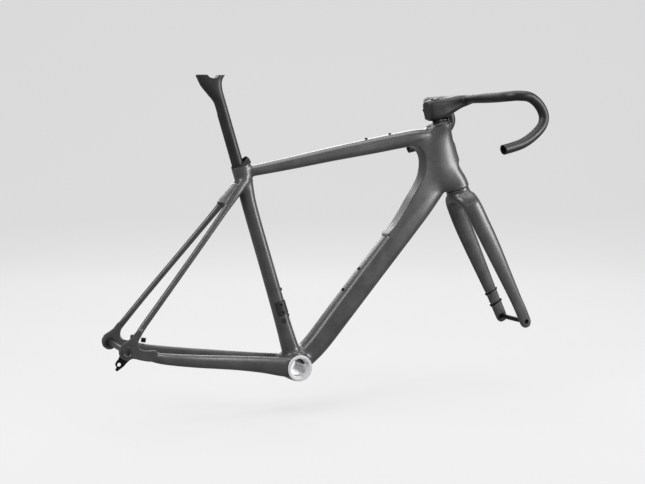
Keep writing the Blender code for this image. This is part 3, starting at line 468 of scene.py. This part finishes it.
def cut(mesh, cutters, operation="DIFFERENCE"):
    """A mesh after Booleans with other meshes; every mesh given is closed."""
    item = stand_in(mesh)
    tools = [stand_in(cutter) for cutter in cutters]
    for tool in tools:
        modifier = item.modifiers.new("cut", "BOOLEAN")
        modifier.operation = operation
        modifier.solver = "MANIFOLD"
        modifier.object = tool
    result = settled(item)
    for tool in tools:
        bpy.data.objects.remove(tool, do_unlink=True)
    return result


def fused(meshes, voxel):
    """Overlapping closed shapes made one skin."""
    work = bmesh.new()
    for mesh in meshes:
        work.from_mesh(mesh)
    joined = bpy.data.meshes.new("joined")
    work.to_mesh(joined)
    work.free()
    item = stand_in(joined)
    remesh = item.modifiers.new("skin", "REMESH")
    remesh.mode = "VOXEL"
    remesh.voxel_size = voxel
    return settled(item)


def fillet(mesh, regions, polish=4):
    """Fill the creases where shapes meet, and leave the outer curves as they are. Each region
    is a centre, a radius in metres and how many rounds of filling it gets; the whole skin is
    smoothed a little without shrinking, before and after."""
    count = len(mesh.vertices)
    places = np.empty(count * 3)
    mesh.vertices.foreach_get("co", places)
    places = places.reshape(-1, 3)
    edges = np.empty(len(mesh.edges) * 2, dtype=np.int64)
    mesh.edges.foreach_get("vertices", edges)
    edges = edges.reshape(-1, 2)
    start = np.concatenate([edges[:, 0], edges[:, 1]])
    end = np.concatenate([edges[:, 1], edges[:, 0]])
    degree = np.bincount(start, minlength=count)[:, None]

    def towards_mean():
        total = [np.bincount(start, weights=places[end, k], minlength=count) for k in range(3)]
        return np.stack(total, 1) / degree - places

    def smooth():
        nonlocal places
        for _ in range(polish):
            places += towards_mean() * 0.5
            places -= towards_mean() * 0.52

    def normals():
        mesh.vertices.foreach_set("co", places.ravel())
        mesh.update()
        vectors = np.empty(count * 3)
        mesh.vertex_normals.foreach_get("vector", vectors)
        return vectors.reshape(-1, 3)

    smooth()
    weights = []
    for centre, radius, rounds in regions:
        distance = np.linalg.norm(places - np.array(centre), axis=1)
        weights.append((np.clip((radius - distance) / (radius * 0.35), 0, 1)[:, None], rounds))
    outward = None
    for step in range(max((rounds for _, _, rounds in regions), default=0)):
        if step % 6 == 0:
            outward = normals()
        weight = np.max([w for w, rounds in weights if rounds > step], axis=0)
        rise = np.sum(towards_mean() * outward, axis=1, keepdims=True)
        places += np.maximum(rise, 0) * outward * weight * 0.9
    smooth()
    normals()
    return mesh


def piece(name, mesh, body, slot, *nodes, sharp=40):
    """A finished piece: it rides on a body, and stands for the CAD nodes named."""
    item = bpy.data.objects.new(name, mesh)
    bpy.context.scene.collection.objects.link(item)
    mesh.materials.clear()
    mesh.materials.append(LOOKS[slot])
    for face in mesh.polygons:
        face.material_index = 0
    mesh.shade_smooth()
    mesh.set_sharp_from_angle(angle=math.radians(sharp))
    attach(item, body)
    if nodes:
        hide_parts(*nodes)
    return item


# ---------------------------------------------------------------- shape tables

HEAD_TUBE = [
    head_station(0, 29.5, -29.5, 58),
    head_station(16, 28.4, -34, 54),
    head_station(38, 27.0, -64, 49),
    head_station(57, 26.0, -77, 46),
    head_station(77, 25.5, -76, 45),
    head_station(98, 25.5, -71, 45),
    head_station(122, 26.0, -64, 46),
    head_station(142, 27.0, -48, 48),
    head_station(160, 28, -30, 53),
]
# the bore for the steerer and both bearings: distance up from the crown, and radius
HEAD_BORE = [(-5, 26.2), (9, 26.2), (12, 19.2), (44, 17.2), (148, 17.2), (152, 21.2), (165, 21.2)]
SEAT_TUBE = [
    seat_station(20, 0, 44, 42, 2.6),
    seat_station(60, 0, 39, 38, 2.5),
    seat_station(120, 0, 34, 35),
    seat_station(220, 0, 33, 33),
    seat_station(380, 0, 33, 33),
    seat_station(440, 3, 34, 38),
    seat_station(486, 6.5, 34, 46),
]
LUG_HALF_WIDTH = 41.25
BB_LUG = [
    station(0, 0, 61, 61, y=-LUG_HALF_WIDTH, power=2),
    station(0, 0, 64, 64, y=-30, power=2),
    station(0, 0, 66, 66, y=0, power=2),
    station(0, 0, 64, 64, y=30, power=2),
    station(0, 0, 61, 61, y=LUG_HALF_WIDTH, power=2),
]
TOP_TUBE = [
    station(-128, 452, 26, 23),
    station(-90, 457.2, 31, 25),
    station(0, 473.5, 34, 29, power=2.6),
    station(100, 492.7, 37, 32.8, power=2.8),
    station(200, 510.5, 39, 36.8, power=2.9),
    station(280, 524.8, 43, 38, power=2.9),
    station(325, 532, 44, 38, power=2.7),
    station(362, 537, 38, 30, power=2.5),
]
DOWN_TUBE = [
    station(6, 2, 54, 50),
    station(57, 46, 52, 54, power=2.9),
    station(116, 113, 50, 56, power=3.1),
    station(196, 205, 49, 57, power=3.1),
    station(296, 319, 48, 57, power=3.1),
    station(342, 371, 44, 57, power=2.7),
    station(380, 414, 34, 52, power=2.4),
]
CHAINSTAY = [
    station(-8, 0, 19, 46, y=31),
    station(-40, 5, 19, 44, y=31.5),
    station(-90, 14, 18, 37, y=34, power=2.5),
    station(-160, 25, 18, 32, y=41, power=2.5),
    station(-260, 39, 17, 28, y=56, power=2.5),
    station(-335, 52, 14, 24, y=66, power=2.5),
    station(-376, 65, 4.8, 19, y=74),
]
SEATSTAY = [
    station(-392, 108, 4.8, 15, y=74),
    station(-377, 127, 12, 13.5, y=70, power=2.6),
    station(-328, 186, 13, 12.5, y=61.5, power=2.8),
    station(-238, 293, 13, 12.5, y=42, power=2.8),
    station(-180, 363, 14, 14, y=28, power=2.6),
    station(-146, 405, 15, 19, y=20),
    station(-118, 438, 13, 21, y=12),
]
BRIDGE = [
    station(-140, 426, 44, 9),
    station(-150, 414, 50, 9),
    station(-163, 397, 56, 10),
    station(-174, 383, 60, 8),
]
# the right seatstay and chainstay meet their dropout this much further out than the left ones
RIGHT_SHIFT = 3.1
DROPOUT_FACES = {1: (71.0, 76.4), -1: (-80.0, -74.9)}
DROPOUT_OUTLINE = [
    (-386, 121), (-382, 113), (-387, 104), (-391, 95), (-391, 85), (-384, 77), (-372, 74),
    (-352, 72), (-352, 52), (-366, 50), (-385, 54), (-403, 59), (-414, 56), (-424, 58),
    (-432, 66), (-434, 79), (-428, 90), (-417, 97), (-407, 104), (-396, 116),
]
HANGER_OUTLINE = [
    (-402, 79), (-402, 66), (-408, 58), (-417, 50), (-424, 43), (-433, 37), (-438, 34), (-441, 38),
    (-438, 42), (-441, 48), (-439, 54), (-434, 60), (-430, 70), (-427, 80), (-415, 86),
]
# the fork: along the steering axis, forward, outward, width and depth
CROWN_HALF = [(-20, 1, 0, 57, 34), (-24.5, 2, 21, 54, 32), (-37, 4, 36, 49, 28), (-58, 7, 44, 46, 25)]
# along, forward, width, depth, outward and how square
BLADE = [
    (-40, 4.5, 25, 44, 42, 2.2),
    (-58.8, 7, 25, 46, 44, 2.3),
    (-100, 13, 22, 46, 47.5, 2.3),
    (-157, 22.5, 19, 44, 50.5, 2.3),
    (-227, 33.5, 16, 38, 52.7, 2.3),
    (-300, 45, 13, 32, 54.4, 2.4),
    (-340, 51, 11.5, 31, 55.25, 2.8),
    (-371, 54.9, 11.5, 30, 55.25, 2.8),
    (-380, 55.7, 11.5, 25, 55.25, 2.8),
    (-386, 56.2, 11.5, 13, 55.25, 2.8),
]
STEM = [
    station(353, 595, 34, 42, power=3.6),
    station(362, 596.5, 40, 51, power=3.6),
    station(386, 599.5, 42, 52, power=3.4),
    station(412, 608, 42, 41, power=3.2),
    station(440, 618, 44, 32, power=3.0),
    station(470, 625, 48, 24, power=2.6),
    station(480, 626, 44, 12, power=2.4),
]
# the left half of the handlebar: x, y, z, width and height
BAR = [
    (462, 0, 625, 40, 22), (462, 10, 625, 40, 22), (462, 50, 625, 36, 22), (461, 100, 625, 27, 23.8),
    (460, 150, 625, 23.8, 23.8), (463, 190, 626, 23.8, 23.8), (480, 208, 627, 23.8, 23.8),
    (508, 212.5, 623, 23.8, 23.8), (534, 212.7, 603, 23.8, 23.8), (545, 213, 576, 23.8, 23.8),
    (530, 216, 549, 23.8, 23.8), (484, 222, 519, 23.8, 23.8), (425, 228.5, 503, 23.8, 23.8),
]
BAR_WALL = 2.6
POST_HEAD = [
    station(-165, 574, 26.8, 26.8, power=2.0),
    station(-176.5, 613, 26.8, 27.0, power=2.1),
    station(-188.5, 637, 26, 38, power=2.6),
    station(-195.5, 655, 25, 53, power=3.2),
    station(-197.5, 670, 25, 66, power=4.0),
]
# the rounded web that runs round behind the head tube, from top tube to down tube
THROAT_OUTLINE = [
    (238, 296), (262, 323), (285, 355), (305, 387), (325, 417), (338, 445), (341, 475), (334, 496),
    (317, 511), (292, 511), (290, 522), (350, 530), (385, 490), (385, 430), (340, 370), (262, 285),
]


def mirrored(entries, side):
    return [(Vector((c.x, c.y * side, c.z)), w, d, p) for c, w, d, p in entries]


def moved_out(entry, side):
    """A stay's last station, where it meets its dropout."""
    shift = 0.0 if side > 0 else RIGHT_SHIFT
    return (entry[0] + Y_AXIS * shift * MM, *entry[1:])


def head_form():
    return loft(refine(HEAD_TUBE), first_tangent=STEER_DIRECTION, last_tangent=STEER_DIRECTION)


def seat_form(grow=0.0):
    return loft(refine(SEAT_TUBE), grow, first_tangent=SEAT_DIRECTION, last_tangent=SEAT_DIRECTION)


def drilled(start, end, radius, point, axis=Y_AXIS, sides=TURNED_SIDES):
    """A plain cylinder that cuts a bore, from one distance along its axis to another."""
    return turned([(start, radius), (end, radius)], point, axis, sides)


# ---------------------------------------------------------------- the frame

def build_frame():
    """The bonded carbon frame, one skin over its tubes, lugs and dropouts."""
    throat = plate(smooth_outline(THROAT_OUTLINE), -19, 19, 9)
    shapes = [head_form(), seat_form(), throat, loft(refine(BB_LUG), reference=X_AXIS),
              loft(refine(TOP_TUBE)), loft(refine(DOWN_TUBE)), loft(refine(BRIDGE))]
    for side in (1, -1):
        chainstay = CHAINSTAY[:-1] + [moved_out(CHAINSTAY[-1], side)]
        seatstay = [moved_out(SEATSTAY[0], side)] + SEATSTAY[1:]
        shapes.append(loft(mirrored(refine(chainstay), side)))
        shapes.append(loft(mirrored(refine(seatstay), side)))
        shapes.append(plate(smooth_outline(DROPOUT_OUTLINE), *DROPOUT_FACES[side], bevel=0))
    skin = fused(shapes, FRAME_VOXEL)
    regions = [
        (side_point(330, 455), 0.13, 220),
        (Vector((0.0, 0, 0.02)), 0.12, 160),
        (seat_point(450), 0.10, 110),
        (side_point(-376, 90, 74), 0.05, 24),
        (side_point(-376, 90, -77), 0.05, 24),
    ]
    skin = fillet(skin, regions)
    cutters = [
        turned(HEAD_BORE, CROWN, STEER_DIRECTION),
        drilled(-60, 60, BB_BORE, BB_CENTRE),
        drilled(-55, -LUG_HALF_WIDTH, BB_RING_SEAT, BB_CENTRE),
        drilled(LUG_HALF_WIDTH, 55, BB_RING_SEAT, BB_CENTRE),
        drilled(10, 520, SEAT_TUBE_BORE, seat_point(0), SEAT_DIRECTION),
        drilled(60, 90, AXLE_BORE, REAR_AXLE),
        drilled(-90, -70, HANGER_BOLT_BORE, REAR_AXLE),
        drilled(69, 72.5, HUB_POCKET_RADIUS, REAR_AXLE),
        block(seat_point(470, 18.5), (13, 14.6, 50), seat_turn(), 0.5),
    ]
    skin = cut(skin, cutters)
    piece("frame_shell", skin, "frame", "frame_carbon", "head_tube", "seat_tube", "bottom_bracket_lug",
          "top_tube", "down_tube", "chainstay_left", "chainstay_right", "seatstay_left", "seatstay_right",
          "seatstay_bridge", "rear_dropout_left", "rear_dropout_right")


def blade_entries(side):
    return [(steer_point(along, forward, outward * side), width * MM / 2, depth * MM / 2, power)
            for along, forward, width, depth, outward, power in BLADE]


def build_fork():
    """The fork's crown and both blades, one skin."""
    sections = [steer_station(a, f, w, d, -y) for a, f, y, w, d in CROWN_HALF[:0:-1]]
    sections += [steer_station(a, f, w, d, y) for a, f, y, w, d in CROWN_HALF]
    shapes = [loft(refine(sections), reference=STEER_FORWARD, first_tangent=STEER_DIRECTION,
                   last_tangent=-STEER_DIRECTION)]
    shapes.append(turned([(-24, 27), (-6, 28.5), (-1, 28.5)], CROWN, STEER_DIRECTION))
    for side in (1, -1):
        shapes.append(loft(refine(blade_entries(side)), first_tangent=-STEER_DIRECTION))
    skin = fillet(fused(shapes, FRAME_VOXEL), [(steer_point(-34, 4), 0.085, 50)])
    cutters = [drilled(-26, 3, 18.1, CROWN, STEER_DIRECTION)]
    for side in (1, -1):
        cutters.append(drilled(*sorted((side * 40.0, side * 50.0)), 17, FRONT_AXLE))
        cutters.append(drilled(*sorted((side * 45.0, side * 70.0)), AXLE_BORE, FRONT_AXLE))
    cutters.append(drilled(49, 51.5, HUB_POCKET_RADIUS, FRONT_AXLE))
    skin = cut(skin, cutters)
    piece("fork_shell", skin, "steering", "fork_carbon", "fork_crown", "fork_blade_left", "fork_blade_right")


def build_cockpit():
    """The handlebar and stem, moulded as one, with hollow bar ends."""
    shapes = [loft(refine(STEM))]
    ends = []
    for side in (1, -1):
        entries = [(side_point(x, z, y * side), w * MM / 2, h * MM / 2, 2.0)
                   for x, y, z, w, h in BAR]
        fine = refine(entries)
        shapes.append(loft(fine, reference=X_AXIS, carried=True))
        tail = fine[-10:]
        hollow = [(c, w - BAR_WALL * MM, d - BAR_WALL * MM, p) for c, w, d, p in tail]
        beyond = (tail[-1][0] - tail[-2][0]).normalized() * 12 * MM
        hollow.append((tail[-1][0] + beyond, *hollow[-1][1:]))
        ends.append(loft(hollow, carried=True))
    skin = fillet(fused(shapes, FINE_VOXEL), [(side_point(462, 625), 0.075, 60)])
    steerer_bore = [(160, STEERER_BORE), (223, STEERER_BORE), (223, 16.6), (245, 16.6)]
    cutters = [turned(steerer_bore, CROWN, STEER_DIRECTION)]
    for _, along in STEM_BOLT_HEIGHTS:
        cutters.append(drilled(0.3, 20, 4.6, steer_point(along, *STEM_BOLT_PLACE)))
    skin = cut(skin, cutters + ends)
    piece("cockpit_shell", skin, "steering", "black_composite", "stem", "handlebar_left", "handlebar_right")


def build_seatpost():
    """The seatpost with its cradle for the saddle clamp."""
    profile = [(348, POST_RADIUS - 0.4), (348.6, POST_RADIUS), (610, POST_RADIUS)]
    tube = turned(profile, seat_point(0), SEAT_DIRECTION)
    head = loft(refine(POST_HEAD), first_tangent=SEAT_DIRECTION, last_tangent=Vector((0, 0, 1)))
    skin = fillet(fused([tube, head], FINE_VOXEL), [(seat_point(600), 0.03, 20)])
    hollow = drilled(340, 590, POST_BORE, seat_point(0), SEAT_DIRECTION)
    cradle = drilled(-30, 30, 16.1, side_point(-194.5, 678.6))
    piece("seatpost_shell", cut(skin, [hollow, cradle]), "seatpost", "black_composite", "seatpost")


# ---------------------------------------------------------------- turned and small pieces

def build_bottom_bracket():
    """The bare metal sleeve, with a flange and a bearing seat at each end, and the guide inside."""
    half, shoulder, seat_floor = 43.25, 41.55, 33.25
    flange, sleeve, bearing_bore, bore = 30.2, 27.0, 23.0, 20.5
    outline = [(-half, bearing_bore), (-half, flange), (-shoulder, flange), (-shoulder, sleeve),
               (shoulder, sleeve), (shoulder, flange), (half, flange), (half, bearing_bore),
               (seat_floor, bearing_bore), (seat_floor, bore), (-seat_floor, bore),
               (-seat_floor, bearing_bore)]
    shell = turned(softened(outline, 0.8), BB_CENTRE, Y_AXIS, closed=True)
    piece("bottom_bracket_ring", shell, "frame", "aluminium", "bottom_bracket_shell", sharp=30)
    arc = []
    for radius, order in ((19.6, range(25)), (16.5, range(24, -1, -1))):
        for step in order:
            angle = math.radians(20 + 60 * step / 24)
            arc.append((radius * math.cos(angle), radius * math.sin(angle)))
    piece("bottom_bracket_guide", plate(arc, -24, 24, 0.5), "frame", "black_composite",
          "bottom_bracket_cable_guide")


def screw(name, node, top, direction, body, radius, height, slot="black_metal", key=1.6):
    """A button-head screw with a hexagonal key socket; top is the middle of its head's top."""
    seat = top - direction * height * MM
    dome = [(-SHANK, radius * 0.6), (0.3, radius * 0.6), (0.3, radius * 0.94), (0.5, radius),
            (height * 0.45, radius)]
    for step in range(1, 7):
        angle = math.pi / 2 * step / 6
        rise = 0.45 + 0.55 * math.sin(angle)
        reach = 0.58 + 0.42 * math.cos(angle)
        dome.append((height * rise, radius * reach))
    head = turned(dome, seat, direction, SCREW_SIDES)
    socket = drilled(height * 0.35, height + 1, key, seat, direction, HEX_SIDES)
    piece(name, cut(head, [socket]), body, slot, node, sharp=35)


BOSS_BOLTS = [
    ("top_tube_bolt_rear", "top_tube_bag_rear"),
    ("top_tube_bolt_front", "top_tube_bag_front"),
    ("down_tube_bolt_lower", "down_tube_cage_lower"),
    ("down_tube_bolt_upper", "down_tube_cage_upper"),
    ("seat_tube_bolt_lower", "seat_tube_cage_lower"),
    ("seat_tube_bolt_upper", "seat_tube_cage_upper"),
]


def build_screws():
    """Every screw whose head shows, and the round plug in the seat tube."""
    for node, mount in BOSS_BOLTS:
        top = Vector(MOUNTS[mount]["pos_m"])
        screw(node + "_head", node, top, Vector(MOUNTS[mount]["axis"]), "frame", 4.0, 2.8)
    slope = math.radians(48.8)
    under = Vector((math.sin(slope), 0, -math.cos(slope)))
    top = side_point(84, 33) + under * 2 * MM
    screw("port_screw_head", "down_tube_port_screw", top, under, "frame", 4.0, 2.0)
    for label, along in STEM_BOLT_HEIGHTS:
        top = steer_point(along, *STEM_BOLT_PLACE) + Y_AXIS * 3.6 * MM
        screw("clamp_bolt_head_" + label, "stem_clamp_bolt_" + label, top, Y_AXIS, "steering", 4.0, 3.6)
    top = steer_point(226.4) + STEER_DIRECTION * 2.4 * MM
    screw("top_cap_bolt_head", "top_cap_bolt", top, STEER_DIRECTION, "steering", 4.0, 2.4)
    for label, along in (("lower", 135), ("upper", 153)):
        top = seat_point(along, 3, -19.6) - Y_AXIS * 1.4 * MM
        screw("cover_screw_head_" + label, "cover_screw_" + label, top, -Y_AXIS, "frame", 2.4, 1.4,
              key=0.9)
    top = seat_point(478, 18.8) + SEAT_DIRECTION * 4 * MM
    screw("seatpost_bolt_head", "seatpost_clamp_bolt", top, SEAT_DIRECTION, "frame", 3.8, 4.0)
    top = seat_point(115, -2, -17.6) - Y_AXIS * 1.2 * MM
    screw("seat_plug_head", "seat_tube_plug", top, -Y_AXIS, "frame", 6.0, 1.2, slot="rubber", key=0.8)


def axle(name, node, body, slot, centre, tip, head):
    """A thru-axle from its tip to its flanged head, with a hexagonal key socket."""
    radius = AXLE_RADIUS
    flange = radius + 3
    profile = [(tip, radius - 0.8), (tip + 0.8, radius), (head, radius), (head, flange),
               (head + 1.6, flange), (head + 2.2, flange - 0.3), (head + 2.4, flange - 0.8)]
    rod = turned(profile, centre, Y_AXIS)
    key = drilled(head - 6, head + 5, 3, centre, sides=HEX_SIDES)
    piece(name, cut(rod, [key]), body, slot, node, sharp=35)


def hub_seat(name, node, body, centre):
    """The round wear plate that the hub's end stands against."""
    corners = [(0, AXLE_BORE), (0, HUB_SEAT_RADIUS), (1.2, HUB_SEAT_RADIUS), (1.2, AXLE_BORE)]
    ring = softened(corners, 0.3)
    piece(name, turned(ring, centre, Y_AXIS, closed=True), body, "black_composite", node, sharp=35)


def build_axles():
    axle("rear_axle_rod", "rear_thru_axle", "rear_axle", "grey_metal", REAR_AXLE, -77.5, 76.7)
    axle("front_axle_rod", "front_thru_axle", "front_axle", "black_metal", FRONT_AXLE, -56.0, 61.3)
    hub_seat("rear_hub_seat", "rear_hub_seat_left", "frame", REAR_AXLE + Y_AXIS * 71 * MM)
    hub_seat("front_hub_seat", "front_hub_seat_left", "steering", FRONT_AXLE + Y_AXIS * 50 * MM)


def build_hanger():
    """The derailleur hanger and the ring that bolts it to the right dropout."""
    shape = plate(smooth_outline(HANGER_OUTLINE), -74.6, -71.0, 0.5)
    shape = cut(shape, [
        drilled(-80, -60, HANGER_BOLT_BORE, REAR_AXLE),
        drilled(-80, -60, 4.2, side_point(-433, 48)),
    ])
    piece("hanger_plate", shape, "hanger", "black_metal", "derailleur_hanger", sharp=35)
    profile = [(0.8, 4.8), (0.8, 7.8), (0, 8.4), (0, 12), (1.8, 12), (1.8, 8), (8.6, 8),
               (8.6, AXLE_BORE), (4, AXLE_BORE), (4, 4.8)]
    flange = 1.8
    start = REAR_AXLE + Y_AXIS * (DROPOUT_FACES[-1][0] - 0.3 - flange) * MM
    ring = turned(softened(profile, 0.5), start, Y_AXIS, closed=True)
    piece("hanger_bolt_ring", ring, "hanger", "grey_metal", "hanger_bolt", sharp=35)


HEADSET_COVER = [
    steer_station(160.4, -3.5, 50, 62, power=2.1),
    steer_station(164, -4.5, 48, 63, power=2.1),
    steer_station(169.6, -4.5, 40, 56, power=2.1),
]
SEAT_COLLAR = [
    seat_station(486.4, 7.5, 35, 48),
    seat_station(489.5, 7.5, 33, 47),
    seat_station(491.5, 6.5, 30, 42),
]


def build_headset():
    """The cover over the upper bearing, and the cap on top of the steerer."""
    cover = loft(refine(HEADSET_COVER), first_tangent=STEER_DIRECTION, last_tangent=STEER_DIRECTION)
    bore = [(155, 18), (162.4, 18), (162.4, 14.7), (175, 14.7)]
    cover = cut(cover, [turned(bore, CROWN, STEER_DIRECTION)])
    piece("headset_cap", cover, "steering", "black_composite", "headset_cover", sharp=50)
    profile = [(223.4, 15.6), (223.6, 15.9), (225.2, 15.9), (226.0, 15.4), (226.4, 14.6)]
    cap = turned(profile, CROWN, STEER_DIRECTION)
    piece("stem_cap", cap, "steering", "black_composite", "top_cap", sharp=35)


def build_seat_collar():
    """The rubber cover over the seatpost clamp."""
    cover = loft(refine(SEAT_COLLAR), first_tangent=SEAT_DIRECTION, last_tangent=SEAT_DIRECTION)
    cover = cut(cover, [drilled(470, 510, SEAT_TUBE_BORE, seat_point(0), SEAT_DIRECTION)])
    piece("seat_collar", cover, "frame", "rubber", "seatpost_clamp_cover", sharp=50)


def build_derailleur_plate():
    """The plate over the front derailleur's mount, bent to the seat tube's side."""
    plate_block = block(seat_point(144, 2.5, -14.5), (28, 19, 34), seat_turn(), 4.0)
    shape = cut(plate_block, [seat_form(2.2 * MM)], "INTERSECT")
    shape = cut(shape, [seat_form(0.3 * MM)])
    piece("derailleur_plate", shape, "frame", "black_composite", "front_derailleur_cover", sharp=35)


def blade_shape(side, grow):
    """A fork blade, swollen by so many metres all round."""
    return loft(refine(blade_entries(side)), grow, first_tangent=-STEER_DIRECTION)


def shell_round_blade(blank, outer):
    """The part of a blank that lies on the left fork blade, up to so many millimetres out."""
    shape = cut(blank, [blade_shape(1, outer * MM)], "INTERSECT")
    return cut(shape, [blade_shape(1, SHELL_GAP * MM)])


def build_brake_hardware():
    """Two bands with wire edges round the left fork blade, and two bosses on the chainstay."""
    for label, along, forward in (("upper", -298, 44), ("lower", -331, 50)):
        centre = steer_point(along, forward, 55)
        turn = steer_turn() @ Matrix.Rotation(math.radians(-11), 3, "Y")
        band = shell_round_blade(block(centre, (60, 40, 6), turn, 0.6), 2.4)
        piece("brake_band_" + label, band, "steering", "black_metal", "front_brake_band_" + label, sharp=35)
        normal = turn @ Vector((0, 0, 1))
        for edge, offset in (("top", 3.6), ("bottom", -3.6)):
            blank = block(centre + normal * offset * MM, (60, 40, 1.0), turn, 0.3)
            wire = shell_round_blade(blank, 1.5)
            piece("brake_wire_%s_%s" % (label, edge), wire, "steering", "steel", sharp=35)
    direction = Vector((0.17, 0, 1))
    profile = softened([(0, 0.01), (0, 5.5), (10, 5.5), (10, 3.1), (6, 3.1), (6, 0.01)], 0.7)
    for label, x, z, y in (("rear", -366, 77, 65), ("front", -341, 68.5, 66)):
        boss = turned(profile, side_point(x, z, y), direction, closed=True)
        piece("brake_boss_" + label, boss, "frame", "black_metal", "rear_brake_boss_" + label, sharp=35)


def dress_cad_nodes():
    """Each CAD node gets the finish of its slot; the ones that no piece replaces show it."""
    slots = {entry["node"]: entry["material_slot"] for entry in RECORD["subparts"]}
    for name, item in frame["nodes"].items():
        item.data.materials.clear()
        item.data.materials.append(LOOKS[slots[name]])


# ---------------------------------------------------------------- studio

def build_stage():
    """A pale floor that sweeps up into a backdrop behind the frame."""
    work = bmesh.new()
    away = Vector((math.sin(STAGE_YAW), math.cos(STAGE_YAW), 0))
    across = Vector((math.cos(STAGE_YAW), -math.sin(STAGE_YAW), 0))
    profile = [(STAGE_FRONT, 0.0), (STAGE_FLAT, 0.0)]
    for step in range(1, STAGE_SWEEP_STEPS + 1):
        angle = math.pi / 2 * step / STAGE_SWEEP_STEPS
        reach = STAGE_FLAT + STAGE_SWEEP * math.sin(angle)
        profile.append((reach, STAGE_SWEEP - STAGE_SWEEP * math.cos(angle)))
    profile.append((STAGE_FLAT + STAGE_SWEEP, STAGE_TOP))
    rows = []
    for reach, height in profile:
        middle = away * reach + Vector((0, 0, FLOOR_Z + height))
        rows.append([work.verts.new(middle + across * side * STAGE_HALF_WIDTH) for side in (-1, 1)])
    for lower, upper in zip(rows, rows[1:]):
        work.faces.new((lower[0], lower[1], upper[1], upper[0]))
    mesh = bpy.data.meshes.new("studio_floor")
    work.to_mesh(mesh)
    work.free()
    mesh.materials.append(floor_material())
    mesh.shade_smooth()
    floor = bpy.data.objects.new("studio_floor", mesh)
    floor.visible_diffuse = False
    floor.visible_glossy = False
    bpy.context.scene.collection.objects.link(floor)


def soft_light(name, place, target, size, power):
    """A rectangular softbox that faces its target."""
    light = bpy.data.lights.new(name, "AREA")
    light.shape = "RECTANGLE"
    light.size, light.size_y = size
    light.energy = power
    item = bpy.data.objects.new(name, light)
    item.location = place
    item.rotation_euler = (Vector(target) - Vector(place)).to_track_quat("-Z", "Y").to_euler()
    bpy.context.scene.collection.objects.link(item)


def build_lights():
    middle = (0.1, 0, 0.35)
    soft_light("overhead", (0.2, 0.1, 2.6), middle, (3.4, 2.0), 60)
    soft_light("behind", (1.3, 2.9, 1.7), middle, (3.6, 1.6), 60)
    soft_light("rear_top", (-2.4, -0.7, 2.3), middle, (2.0, 2.0), 75)
    soft_light("front_side", (2.5, -2.1, 1.1), middle, (1.0, 1.6), 75)
    world = bpy.data.worlds.new("studio")
    world.use_nodes = True
    background = world.node_tree.nodes["Background"]
    background.inputs["Color"].default_value = (0.97, 0.98, 1.0, 1.0)
    background.inputs["Strength"].default_value = 0.28
    bpy.context.scene.world = world
    bpy.context.scene.view_settings.view_transform = "Standard"


def build_camera():
    """The camera stands to the right of the frame and behind it, a little above."""
    yaw, pitch, roll = 0.42191, 0.08553, -0.00062
    place = Vector((-1.06220, -2.53589, 0.52533))
    level = math.cos(pitch)
    ahead = Vector((math.sin(yaw) * level, math.cos(yaw) * level, -math.sin(pitch)))
    right = Vector((math.cos(yaw), -math.sin(yaw), 0))
    up = right.cross(ahead)
    level_right = right * math.cos(roll) + up * math.sin(roll)
    level_up = up * math.cos(roll) - right * math.sin(roll)
    data = bpy.data.cameras.new("camera")
    data.sensor_width = 36
    data.lens = 66.314
    data.clip_end = 100
    data.dof.use_dof = False
    camera = bpy.data.objects.new("camera", data)
    turn = Matrix((level_right, level_up, -ahead)).transposed()
    camera.matrix_world = Matrix.Translation(place) @ turn.to_4x4()
    bpy.context.scene.collection.objects.link(camera)
    bpy.context.scene.camera = camera


dress_cad_nodes()
build_camera()
build_stage()
build_lights()
build_frame()
build_fork()
build_cockpit()
build_seatpost()
build_bottom_bracket()
build_axles()
build_hanger()
build_headset()
build_seat_collar()
build_derailleur_plate()
build_brake_hardware()
build_screws()
